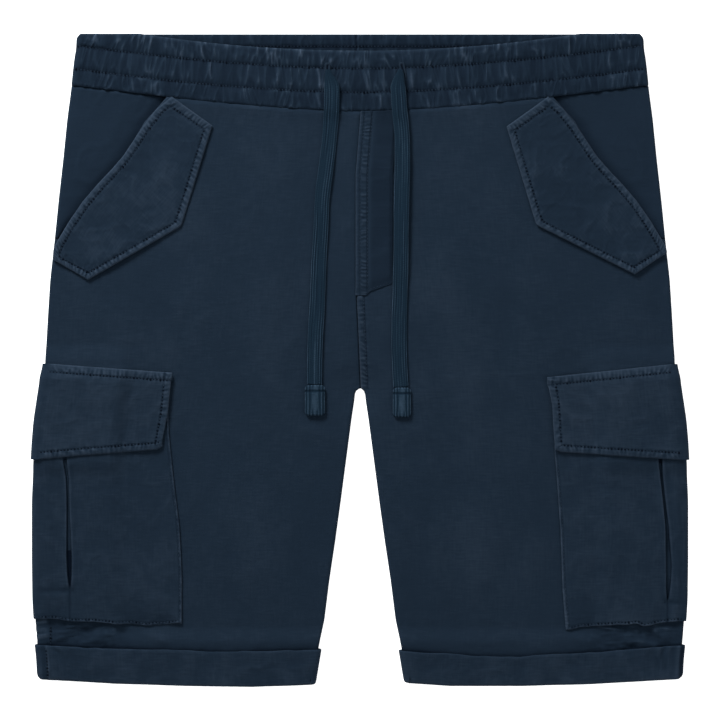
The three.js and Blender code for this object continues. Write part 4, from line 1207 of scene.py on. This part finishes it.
def on_band(face, t, curve, out):
    arc = np.maximum(0, BAND_HALF - np.abs(t))
    turn = np.minimum(arc / BAND_RADIUS, math.pi / 2)
    flat_d = BAND_EDGE - BAND_RADIUS - np.maximum(0, arc - BAND_QUARTER)
    spread = (side_edge(curve(flat_d)) - BAND_EDGE) * np.minimum(1, flat_d / 200)
    d = flat_d + spread + (BAND_RADIUS + out) * np.cos(turn)
    y = curve(flat_d + spread)
    rounded = corner_drop(d - out * np.cos(turn), BAND_EDGE - 1.5, BAND_CORNER) * smooth((y - 240) / 16)
    z = BAND_RADIUS + face * (BAND_RADIUS + out) * np.sin(turn)
    return np.stack([np.sign(t) * d, y - rounded, z], 1)


def crumpled(t, part, lane, seed, size):
    """Finer gathers that lean, fork and die away, from 0 to 1."""
    lean = 7.0 * noise(t / 20, lane * 3.3, seed)
    slanted = t + lean * (part - 0.5)
    line = 1 - np.minimum(np.abs(noise(slanted / size, part * 1.1 + lane * 5.7, seed + 1)) * 2.4, 1)
    swell = np.clip(0.55 + 0.9 * noise(t / 6, part * 1.3 + lane * 2.3, seed + 2), 0, 1)
    return line * swell


def scattered_ridges(seed, count, heights, reach):
    """Random gathers: place, height, lean, bend, and the part of the channel they run over."""
    random = np.random.RandomState(seed)
    pitch = 2 * GATHER_HALF / count
    place = -GATHER_HALF + (np.arange(count) + 0.5 + random.uniform(-0.42, 0.42, count)) * pitch
    start = random.uniform(-0.2, reach, count) * (random.uniform(0, 1, count) > 0.4) - 0.25
    stop = 1.25 - random.uniform(-0.2, reach, count) * (random.uniform(0, 1, count) > 0.4)
    return np.stack([place, random.uniform(*heights, count), random.normal(0, 1.7, count),
                     random.normal(0, 0.7, count), start, stop], 1)


def stand_up(t, part, table):
    """Sharp and broad shares of the height of a channel's gathers."""
    sharp, broad = np.zeros_like(t), np.zeros_like(t)
    for place, height, lean, bend, start, stop in table:
        away = t - place - lean * (part - 0.5) - bend * np.sin(math.pi * part)
        run = smooth((part - start) / 0.25) * smooth((stop - part) / 0.25) * height
        sharp += run * bump(away, 0, 0.5)
        broad += run * bump(away, 0, 1.7)
    return sharp, broad


print("waistband:", round(2 * BAND_HALF), "mm along its front")

# %% The front waistband
BAND_COLUMNS = 860
FRONT_RIDGES = {  # seed, count, heights, how much of the channel's ends they may leave out
    0: [(211, 74, (0.3, 0.9), 0.3), (212, 66, (0.1, 0.5), 0.6)],
    1: [(213, 60, (0.2, 0.95), 0.4), (214, 66, (0.1, 0.45), 0.7)],
    2: [(215, 56, (0.1, 0.6), 0.7), (216, 60, (0.05, 0.4), 0.8)],
}


def band_lengths(u):
    """Distance along the band from the middle, with closer columns at its ends."""
    return np.interp(u, [0, 0.02, 0.98, 1], [-BAND_HALF + 0.15, -GATHER_HALF, GATHER_HALF,
                                             BAND_HALF - 0.15])


def gathered(t, lane, part, recipe):
    sharp, broad = np.zeros_like(t), np.zeros_like(t)
    for k in LANES:
        pick = lane == k
        table = np.concatenate([scattered_ridges(*row) for row in recipe[k]])
        sharp[pick], broad[pick] = stand_up(t[pick], part[pick], table)
    return sharp, broad


def band_surface(t, lane, part):
    lines = (front_top, channel_one, channel_two, waist_seam)

    def curve(d):
        marks = np.stack([line(d) for line in lines])
        pick = np.arange(len(d))
        high, low = marks[lane, pick], marks[lane + 1, pick] + np.where(lane == 2, PANEL_TOP_GAP, 0)
        return high + (low - high) * part

    flat = smooth((GATHER_HALF - np.abs(t)) / 4 + 0.4)
    sharp, broad = gathered(t, lane, part, FRONT_RIDGES)
    from_top = np.where(lane == 0, part, 1)
    from_foot = np.where(lane == 2, 1 - part, 1)
    to_stitch = np.minimum(np.where(lane == 0, 1, part), np.where(lane == 2, 1, 1 - part))
    held = smooth(to_stitch / 0.22)
    close = ripples(t, part, 231, 2.6) * bump(to_stitch, 0, 0.16)
    body = 0.9 * np.sin(math.pi * np.minimum(to_stitch, 0.5)) ** 0.7 - 0.65
    soft = 0.35 * noise(t / 14, lane * 2.7 + part, 233) * held
    fine, wide = crumpled(t, part, lane, 251, 2.3), crumpled(t, part, lane, 261, 4.6)
    out = body + soft + (0.2 + 0.8 * held) * (0.35 * sharp + 0.45 * broad) + 0.16 * close
    out += (0.5 + 0.5 * held) * (0.5 * fine + 0.55 * wide)
    out = (flat * out - 1.6 * (1 - np.clip(from_top * 5, 0, 1)) ** 2
           - 0.8 * smooth((0.12 - from_foot) / 0.12))
    # Painted light: crests of the gathers paler as highlight, hollows and the stitch rows darker as shade,
    # and a painted highlight along the top edge.
    groove = bump(to_stitch, 0, 0.08)
    crests = 0.13 * sharp * (0.35 + 0.65 * held) + 0.4 * (broad - 0.62)
    relief = flat * (crests + 0.64 * (fine - 0.21) + 0.38 * (wide - 0.24) + 0.2 * close) - 0.22 * groove
    relief += 0.4 * np.exp(-from_top * 12) + 0.1 * np.exp(-from_foot * 20) - 0.06
    return on_band(1, t, curve, out), relief


def waistband_front():
    def place(u, v):
        v = 1 - v
        t = band_lengths(u)
        lane = np.minimum((v * 3).astype(int), 2)
        part = packed(v * 3 - lane, 0.5)
        points, relief = band_surface(t, lane, part)
        return points, np.stack([t * DRAWN_IN, v * BAND_DEPTH], 1), np.clip(relief, -0.85, 0.95)

    mesh = lay_grid("Waistband front", BAND_COLUMNS, 36, place)
    face_way(mesh, True)
    piece = dress("Waistband_front", mesh, "waistband_front", wall=1.4)
    _, width, length = flat_area(mesh)
    t = np.linspace(-BAND_HALF + 2, BAND_HALF - 2, 900)
    for lane in (1, 2):
        points, _ = band_surface(t, np.full(t.shape, lane), np.zeros_like(t))
        run_of_stitches(points)


BACK_STITCH = 9.6  # depth below the top
BACK_SEAM_T = -3.2
BACK_SHOWN = 18  # depth of the part that lies above the front's top edge
BACK_WALL = 2.0
BACK_RIDGES = [(241, 66, (0.4, 1.1), 0.3), (242, 40, (0.15, 0.5), 0.5)]


def waistband_back():
    def surface(t, v):
        def curve(d):
            low = waist_seam(d) + PANEL_TOP_GAP
            upper = WAIST_Y - BACK_SHOWN * np.minimum(v / 0.6, 1)
            return np.where(v < 0.6, upper, upper + (low - upper) * (v - 0.6) / 0.4)

        flat = smooth((GATHER_HALF - np.abs(t)) / 4 + 0.4)
        depth = BACK_SHOWN * v / 0.6
        groove = bump(depth - BACK_STITCH, 0.4, 1.3)
        part = np.where(depth < BACK_STITCH, depth / BACK_STITCH, np.clip((depth - BACK_STITCH) / 8, 0, 1))
        sharp, broad = stand_up(t, part, np.concatenate([scattered_ridges(*row) for row in BACK_RIDGES]))
        seam = bump(t, BACK_SEAM_T, 0.9)
        beside = bump(np.abs(t - BACK_SEAM_T), 2, 1.1)
        rolled = 1.3 * (1 - np.clip(depth / 1.6, 0, 1)) ** 2
        shown = smooth((0.95 - v) / 0.2)
        inward = (BACK_WALL + 0.2 + shown * flat * ((0.35 * sharp + 0.5 * broad) * (1 - 0.7 * groove)
                                                    - 0.35 * groove))
        inward = inward - rolled - shown * (0.8 * seam - 0.3 * beside)
        fine = crumpled(t, part, 0 * t, 281, 2.8)
        # Painted shade: the back band darker all over, and darker still at its row of stitches and its
        # seam; the top edge and the cloth beside the seam are painted paler as highlight.
        relief = (flat * (0.25 * sharp + 0.25 * (broad - 0.7) + 0.3 * (fine - 0.2)) - 0.8 * groove
                  - 0.9 * seam + 0.3 * beside)
        relief += 0.3 * fade(depth, 1.5) - 0.28
        return on_band(-1, t, curve, -np.clip(inward, BACK_WALL, 3.1)), relief

    def place(u, v):
        v = packed(1 - v, 0.2)
        t = band_lengths(u)
        points, relief = surface(t, v)
        return points, np.stack([t * DRAWN_IN, v * BAND_DEPTH], 1), np.clip(relief, -0.9, 0.7)

    mesh = lay_grid("Waistband back", 500, 22, place)
    face_way(mesh, True)
    piece = dress("Waistband_back", mesh, "waistband_back", wall=BACK_WALL)
    _, width, length = flat_area(mesh)
    t = np.linspace(-GATHER_HALF, GATHER_HALF, 900)
    run_of_stitches(surface(t, np.full(900, 0.6 * BACK_STITCH / BACK_SHOWN))[0])


waistband_front()
waistband_back()

# %% [markdown]
# ## The mock fly
# The fly doesn't open. The right front is folded at the centre seam and stitched down in a strip
# that puckers. The cloth beyond the strip ends in a slanted edge that runs under the cord.

# %% The mock fly
FLY_BOTTOM = [(-4, 51.4), (5, 51.6), (8, 54.8), (25, 60.4), (28.5, 66)]  # X, Y
FLY_WIDTH = 30.0
FLY_STITCHES = (3.6, 9.7)  # distances of the two rows from the fold


def fly():
    def surface(to_fold, y):
        across = to_fold - 0.8
        low = look_up(FLY_BOTTOM, across - 2.8)
        to_low = np.maximum(y - low, 0)
        x = look_up(CENTRE_SEAM, y) + across
        first = bump(to_fold, FLY_STITCHES[0], 0.65)
        second = bump(to_fold, FLY_STITCHES[1], 0.8)
        strip = np.exp(-(((to_fold - 6.7) / 2.7) ** 4))
        welt = bump(to_fold, 1.8, 1.6)
        wave = 0.75 * ripples(y, to_fold, 151, 3.3) + 0.5 * ripples(y, to_fold, 155, 7.1)
        beyond = smooth((to_fold - 11) / 3)
        faint = beyond * creased(to_fold / 3, y, 157, 15)
        height = (1.1 + welt * (0.3 + 0.12 * wave) + strip * (0.3 + 0.32 * wave) - 0.35 * first
                  - 0.5 * second + 0.3 * faint)
        height -= (0.7 * (1 - np.clip(to_fold / 1.0, 0, 1)) ** 2
                   + 0.95 * (1 - np.clip(to_low / 2.6, 0, 1)) ** 2)
        height = np.maximum(height - 1.0 * smooth((across - 26) / 3), 0.35)
        height = 0.35 + (height - 0.35) * smooth(to_low / 9)
        # Painted light: the fold edge and the puckers paler as highlight, the stitch rows darker as shade,
        # and the cloth beyond the strip darker, as the cord's painted shadow.
        relief = (0.42 * fade(to_fold, 0.7) + strip * (0.02 + 0.32 * wave) + 0.08 * welt * wave
                  - 0.2 * first - 0.3 * second)
        relief += 0.12 * fade(np.abs(to_low - 1.0), 1.0) + 0.2 * faint - 0.36 * beyond
        rise = 0.9 * WAIST_RISE * fade(np.maximum(waist_seam(x) - y, 0), 8)
        return np.stack([x, y, LEG_HEIGHT + SEAM_GAP + height + rise], 1), relief

    def place(u, v):
        to_fold = FLY_WIDTH * np.interp(u, [0, 0.5, 1], [0, 0.37, 1])
        low = look_up(FLY_BOTTOM, to_fold - 3.6)
        high = waist_seam(to_fold) - PANEL_TOP_GAP
        y = high + (low - high) * packed(v, 0.2)
        points, relief = surface(to_fold, y)
        return points, np.stack([to_fold, y], 1), np.clip(relief, -0.75, 0.85)

    lay_piece("Fly_placket", "fly_placket", (50, 200), place, 0.6)
    y = np.linspace(195, 55, 120)
    for across in FLY_STITCHES:
        run_of_stitches(surface(np.full_like(y, across), y)[0], with_hole_shade=False)
    across = np.linspace(7, 27, 40)
    run_of_stitches(surface(across, look_up(FLY_BOTTOM, across - 3.6) + 1.9)[0], with_hole_shade=False)
    below = np.linspace(49, -19, 60)
    seam = look_up(CENTRE_SEAM, below)
    row = np.stack([seam + CENTRE_INSET, below, leg_height(seam + CENTRE_INSET, below) + 0.1], 1)
    run_of_stitches(row, with_hole_shade=False)


fly()

# %% [markdown]
# ## Drawcords
# Each cord is a flat cotton tape that comes out of a buttonhole in the waistband and lies down
# the front. It is narrow where the buttonhole pinches it. Its end is folded back on itself and
# stitched, which makes a thick square tip. The two routes are listed.

# %% Drawcords
TAPE_WIDTH = 12
TAPE_HEIGHT = 2.2
TAPES = {
    "left": {
        "exit": (-25.5, 231, 7.6),
        "route": [
            (-25.6, 231, 8.8), (-24.7, 226, 9.2), (-22.8, 219.5, 9.4), (-22.4, 208.4, 9.3),
            (-22.6, 200, 8.6),
            (-23.2, 190.8, 6.8), (-24.1, 180, 6.4), (-25.2, 168.4, 6.3), (-27.5, 150, 6.3),
            (-29.8, 132.2, 6.3),
            (-31.2, 104.2, 6.3), (-32.8, 76.1, 6.3), (-34.2, 41.3, 6.3), (-35.4, 22, 6.3), (-36, 3, 6.3),
            (-36.3, -19.6, 6.3),
        ],
        "tip": {"x": -35.9, "top": -19.9, "bottom": -44.4, "width": 16},
    },
    "right": {
        "exit": (32.6, 231, 7.6),
        "route": [
            (32.4, 231, 8.8), (31.7, 226, 9.2), (30.5, 219.5, 9.4), (30.9, 208.4, 9.3), (31.5, 199, 8.9),
            (32.6, 189, 8.0), (33.4, 180, 7.9), (33.7, 168.4, 7.9), (33.8, 150, 7.9), (33.2, 132.2, 7.9),
            (32.8, 104.2, 7.9), (32.5, 76.1, 7.9), (31.9, 52, 6.8), (31.3, 30, 6.3), (31.4, 3, 6.3),
            (32.6, -21.6, 6.3),
        ],
        "tip": {"x": 33.4, "top": -21.9, "bottom": -45.6, "width": 14.4},
    },
}
TAPE_RIBS = 6
TAPE_ROWS = 280
PINCH = 14.0  # length over which the tape opens out from its buttonhole
KNIT_STEP = 1.9


def smooth_route(points, count):
    """Even points on a smooth line through the route, and their distances along it."""
    points = np.array(points, dtype=float)
    marks = np.concatenate([[0], np.cumsum(np.linalg.norm(np.diff(points, axis=0), axis=1))])
    slopes = np.gradient(points, marks, axis=0)
    at = np.linspace(0, marks[-1], count)
    k = np.clip(np.searchsorted(marks, at) - 1, 0, len(marks) - 2)
    span = (marks[k + 1] - marks[k])[:, None]
    s = ((at - marks[k]) / span[:, 0])[:, None]
    line = (2 * s**3 - 3 * s**2 + 1) * points[k] + (s**3 - 2 * s**2 + s) * span * slopes[k]
    line += (3 * s**2 - 2 * s**3) * points[k + 1] + (s**3 - s**2) * span * slopes[k + 1]
    return line, at


def directions(line):
    """Unit vectors along a line, to its right and up from it, at each point."""
    run = np.gradient(line, axis=0)
    run /= np.linalg.norm(run, axis=1)[:, None]
    sideways = np.cross(run, [0, 0, 1.0])
    sideways /= np.linalg.norm(sideways, axis=1)[:, None]
    return run, sideways, np.cross(sideways, run)


def close_ends(mesh):
    bm = bmesh.new()
    bm.from_mesh(mesh)
    bmesh.ops.holes_fill(bm, edges=[edge for edge in bm.edges if edge.is_boundary], sides=0)
    bmesh.ops.recalc_face_normals(bm, faces=bm.faces)
    bm.to_mesh(mesh)
    bm.free()


def drawcord(side):
    shape = TAPES[side]
    seed = 271 if side == "right" else 171
    line, at = smooth_route(shape["route"], TAPE_ROWS + 1)
    _, sideways, upward = directions(line)

    def place(u, v):
        k = np.round(v * TAPE_ROWS).astype(int)
        angle = 2 * math.pi * u
        wide = np.sign(np.sin(angle)) * np.abs(np.sin(angle)) ** 0.62
        high = np.sign(np.cos(angle)) * np.abs(np.cos(angle)) ** 0.62
        opened = np.minimum(at[k] / PINCH, 1) ** 0.8
        uneven = 1 + 0.03 * noise(at[k] / 18, np.zeros_like(u), seed)
        half = TAPE_WIDTH / 2 * (0.3 + 0.7 * opened) * uneven
        ribs = np.cos((wide + 0.03 * noise(at[k] / 9, wide, seed + 1)) * math.pi * TAPE_RIBS)
        ribs = ribs * (0.55 + 0.8 * noise(at[k] / 26, wide * 4, seed + 3))
        knit = np.sin(at[k] * 2 * math.pi / KNIT_STEP + 2.0 * np.abs(wide) * math.pi)
        roll = 0.25 * wide * noise(at[k] / 30, np.zeros_like(u), seed + 2)
        dished = -0.3 * (1 - wide**2) * (high > 0)
        bulk = 1 + 0.5 * (1 - opened)
        surface = (0.2 * ribs + 0.05 * knit + dished) * opened * (np.abs(high) > 0.3)
        thick = TAPE_HEIGHT / 2 * bulk + surface
        centre = line[k] + sideways[k] * (half * wide)[:, None] + upward[k] * (thick * high + roll)[:, None]
        # Painted light: the rib crests and the tape's edges paler as highlight, and the tape darker where
        # the buttonhole pinches it, as painted shade.
        edge = bump(np.abs(wide), 1, 0.1)
        relief = (0.42 * ribs + 0.1 * knit + 0.3 * edge - 0.14) * (0.4 + 0.6 * opened) - 0.3 * (1 - opened)
        return centre, np.stack([u * 2 * TAPE_WIDTH, at[k]], 1), np.clip(relief * (high > -0.5), -0.6, 0.7)

    mesh = lay_grid(f"Drawcord {side}", 80, TAPE_ROWS, place, closed=True)
    close_ends(mesh)
    cord = dress(f"Drawcord_{side}", mesh, f"drawcord_{side}", TAPE)
    tip = tape_tip(side)


TIP_THICK = 3.2
TIP_CORNER = 3.2


def tape_tip(side):
    """The folded end: a soft slab with rounded corners, ribs, and a lap line near its top."""
    tip = TAPES[side]["tip"]
    length, half = tip["top"] - tip["bottom"], tip["width"] / 2

    def place(u, v):
        angle = 2 * math.pi * u
        wide = np.sign(np.sin(angle)) * np.abs(np.sin(angle)) ** 0.5
        high = np.sign(np.cos(angle)) * np.abs(np.cos(angle)) ** 0.5
        v = packed(v, 0.75)
        y = length * (0.5 - v)
        to_end = length * np.minimum(v, 1 - v)
        narrow = corner_drop(TIP_CORNER - to_end, TIP_CORNER, TIP_CORNER)
        across = (half - narrow) * wide
        cap = np.sqrt(np.clip(1 - (1 - np.clip(to_end / 1.4, 0, 1)) ** 2, 0.02, 1))
        ribs = np.cos((across / half + 0.05 * noise(y / 5, across / 3, 301)) * math.pi * TAPE_RIBS)
        lap = bump(y, length * 0.3, 0.8)
        puffed = 0.55 * (1 - wide**2) * (1 - np.abs(2 * y / length) ** 3)
        z = TIP_THICK / 2 * high * cap + (high > 0) * cap * (0.16 * ribs + puffed - 0.5 * lap - 0.3)
        middle = np.array([tip["x"], (tip["top"] + tip["bottom"]) / 2,
                           LEG_HEIGHT + SEAM_GAP + TIP_THICK / 2])
        # Painted light: the edges paler as highlight and the lap line darker as shade.
        edge = fade(half - np.abs(across), 0.9) + 0.6 * fade(to_end, 0.8)
        relief = (0.34 * ribs + 0.35 * edge - 0.7 * lap - 0.05) * (high > -0.2)
        return (middle + np.stack([across, y, z], 1), np.stack([u * 2 * tip["width"], y], 1),
                np.clip(relief, -0.7, 0.8))

    mesh = lay_grid(f"Drawcord tip {side}", 80, 56, place, closed=True)
    close_ends(mesh)
    return dress(f"Drawcord_tip_{side}", mesh, f"drawcord_tip_{side}", TAPE)


for side in SIDES:
    drawcord(side)

# %% [markdown]
# ## Buttonholes
# The cords come out of two upright buttonholes. Each is a slit with a rim of close satin
# stitches: a thin ring whose section swells and shrinks along the way. The band has no hole, so the
# shade in the slit is painted as a dark sheet inside the ring.

# %% Buttonholes
EYELETS = [  # X, Y, lean in degrees
    (-25.9, 230, 0), (34.2, 230.5, 12),
]
EYELET_HALF = 4.6
EYELET_RADIUS = 1.5
SATIN_THREADS = 60


def turned(points, x, y, lean):
    angle = math.radians(lean)
    u, v = points[:, 0], points[:, 1]
    return np.stack([x + u * math.cos(angle) - v * math.sin(angle),
                     y + u * math.sin(angle) + v * math.cos(angle), points[:, 2]], 1)


def buttonhole(index, x, y, lean):
    straight, bend = 2 * EYELET_HALF, math.pi * EYELET_RADIUS
    around = 2 * (straight + bend)

    def place(u, v):
        s = v * around
        marks = [0, straight, straight + bend, 2 * straight + bend, around]
        angle = np.interp(s, marks, [0, 0, math.pi, math.pi, 2 * math.pi])
        middle = np.interp(s, marks, [-EYELET_HALF, EYELET_HALF, EYELET_HALF, -EYELET_HALF, -EYELET_HALF])
        satin = 0.88 + 0.12 * np.cos(2 * math.pi * SATIN_THREADS * v)
        ring = 2 * math.pi * u
        reach = EYELET_RADIUS + 1.0 * satin * np.cos(ring)
        z = BAND_HEIGHT + 0.55 + 0.6 * satin * np.sin(ring)
        points = np.stack([np.cos(angle) * reach, middle + np.sin(angle) * reach, z], 1)
        # The tops of the satin threads are painted paler as highlight and the gaps between them darker as
        # shade.
        return turned(points, x, y, lean), np.stack([s, ring], 1), 2.2 * (satin - 0.9)

    mesh = lay_grid(f"Buttonhole {index}", 10, SATIN_THREADS * 4, place, closed=True)
    dress(f"Buttonhole_{index}", mesh, None, THREAD)


def buttonhole_slit_shade(index, x, y, lean):
    """Painted shade in the slot inside the rim: a thin dark sheet just above the band."""
    def place(u, v):
        y_in = (EYELET_HALF + EYELET_RADIUS) * (2 * v - 1)
        half = EYELET_RADIUS * 0.9 * np.sqrt(np.maximum(1 - (2 * v - 1) ** 4, 0.001))
        points = np.stack([half * (2 * u - 1), y_in, BAND_HEIGHT + 0.7 + 0 * u], 1)
        return turned(points, x, y, lean), np.stack([u * 3, y_in], 1), -1 + 0 * u

    mesh = lay_grid(f"Buttonhole slit shade {index}", 4, 24, place)
    face_way(mesh, True)
    dress(f"Buttonhole_slit_shade_{index}", mesh, None, THREAD)


for index, (x, y, lean) in enumerate(EYELETS):
    buttonhole(index, x, y, lean)
    buttonhole_slit_shade(index, x, y, lean)
print("buttonholes:", len(EYELETS))

# %% [markdown]
# ## Topstitching
# Each stitch is a small rounded bar of thread that dips into the cloth at both ends. One low ball
# is drawn out for each of them along the recorded lines. Where the needle went in, between two
# stitches, the cloth has a dent in shade, and that shade is painted as a second mesh of low dark balls.

# %% Topstitching
STITCH_SIZE = (0.85, 0.34, 0.25)  # half length, half width and half height of what shows of a stitch
# Half sizes of the dark balls that paint the shade in the needle holes.
HOLE_SIZE = (0.75, 1.25, 0.42)


def even_points(line, step):
    """Points at even distances along a line, and the way it runs at each."""
    marks = np.concatenate([[0], np.cumsum(np.linalg.norm(np.diff(line, axis=0), axis=1))])
    at = np.arange(step / 2, marks[-1] - step / 2, step)
    points = np.stack([np.interp(at, marks, line[:, axis]) for axis in range(3)], 1)
    ahead = np.stack([np.interp(at + 0.4, marks, line[:, axis]) for axis in range(3)], 1)
    return points, ahead - points


def small_ball(sides, rings):
    """Points and faces of a low ball, as the form of a stitch."""
    bm = bmesh.new()
    bmesh.ops.create_uvsphere(bm, u_segments=sides, v_segments=rings, radius=1)
    points = np.array([vert.co[:] for vert in bm.verts])
    faces = [[vert.index for vert in face.verts] for face in bm.faces]
    bm.free()
    return points, faces


def scattered(name, points, ways, size, relief, spread):
    """One mesh with a small form at each point, turned along its way."""
    form, faces = small_ball(5, 3)
    ways = ways / np.linalg.norm(ways, axis=1)[:, None]
    across = np.cross([0, 0, 1.0], ways)
    across /= np.linalg.norm(across, axis=1)[:, None]
    axes = np.stack([ways, across, np.cross(ways, across)], 1)
    random = np.random.RandomState(5)
    grown = random.uniform(*spread, (len(points), 1, 1))
    placed = points[:, None] + grown * np.einsum("pk,nkc->npc", form * size, axes)
    every = [[corner + k * len(form) for corner in face] for k in range(len(points)) for face in faces]
    mesh = bpy.data.meshes.new(name)
    mesh.from_pydata((placed.reshape(-1, 3) * MM).tolist(), [], every)
    mesh.uv_layers.new(name="UVMap")
    painted_light = mesh.attributes.new("relief", "FLOAT", "POINT")
    painted_light.data.foreach_set("value", np.full(len(mesh.vertices), relief, dtype=np.float32))
    dress(name.replace(" ", "_"), mesh, None, THREAD)


def sew_stitches():
    placed = [(*even_points(line, STITCH_PITCH), with_hole_shade) for line, with_hole_shade in stitch_runs]
    points = np.concatenate([run[0] for run in placed])
    ways = np.concatenate([run[1] for run in placed])
    up = np.array([0, 0, 0.08])
    scattered("Topstitching", points + up, ways, STITCH_SIZE, 0.3, (0.75, 1.2))
    # Dark balls of painted shade in the needle holes, between the stitches.
    points = np.concatenate([run[0] for run in placed if run[2]])
    ways = np.concatenate([run[1] for run in placed if run[2]])
    unit = ways / np.linalg.norm(ways, axis=1)[:, None]
    scattered("Needle hole shade", points + unit * STITCH_PITCH / 2 + 2 * up, ways, HOLE_SIZE, -1.0, (0.45, 1.2))
    print("stitches:", sum(len(run[0]) for run in placed))


sew_stitches()

# %% [markdown]
# ## Table and light
# A plain white table, a large soft light from the upper left that rakes over the gathers, and an
# even sky that fills the shadows.

# %% Table and light
TABLE_GLOW = 0.9


def table():
    bm = bmesh.new()
    bmesh.ops.create_grid(bm, x_segments=1, y_segments=1, size=3)
    mesh = bpy.data.meshes.new("Table")
    bm.to_mesh(mesh)
    bm.free()
    mesh.transform(Matrix.Translation((0, 0, -0.0005)))
    floor = bpy.data.objects.new("Table", mesh)
    bpy.context.scene.collection.objects.link(floor)
    white = bpy.data.materials.new("White table")
    white.use_nodes = True
    shader = white.node_tree.nodes["Principled BSDF"]
    shader.inputs["Base Color"].default_value = (0.95, 0.95, 0.95, 1)
    shader.inputs["Roughness"].default_value = 0.9
    shader.inputs["Specular IOR Level"].default_value = 0.1
    shader.inputs["Emission Color"].default_value = (1, 1, 1, 1)
    shader.inputs["Emission Strength"].default_value = TABLE_GLOW
    mesh.materials.append(white)


def soft_light(name, place, size, watts):
    data = bpy.data.lights.new(name, "AREA")
    data.shape = "DISK"
    data.size = size
    data.energy = watts
    light = bpy.data.objects.new(name, data)
    light.location = place
    light.rotation_euler = (Vector((0, 0, 0)) - Vector(place)).to_track_quat("-Z", "Y").to_euler()
    bpy.context.scene.collection.objects.link(light)


table()
soft_light("Key", (-0.75, 1.5, 0.95), 0.6, 46)
soft_light("Fill", (1.2, -0.5, 1.6), 1.6, 7)
world = bpy.data.worlds.new("Studio")
world.use_nodes = True
world.node_tree.nodes["Background"].inputs["Color"].default_value = (1, 1, 1, 1)
world.node_tree.nodes["Background"].inputs["Strength"].default_value = 0.4
bpy.context.scene.world = world
bpy.context.scene.view_settings.view_transform = "Standard"
print("lights:", [light.name for light in bpy.data.lights])
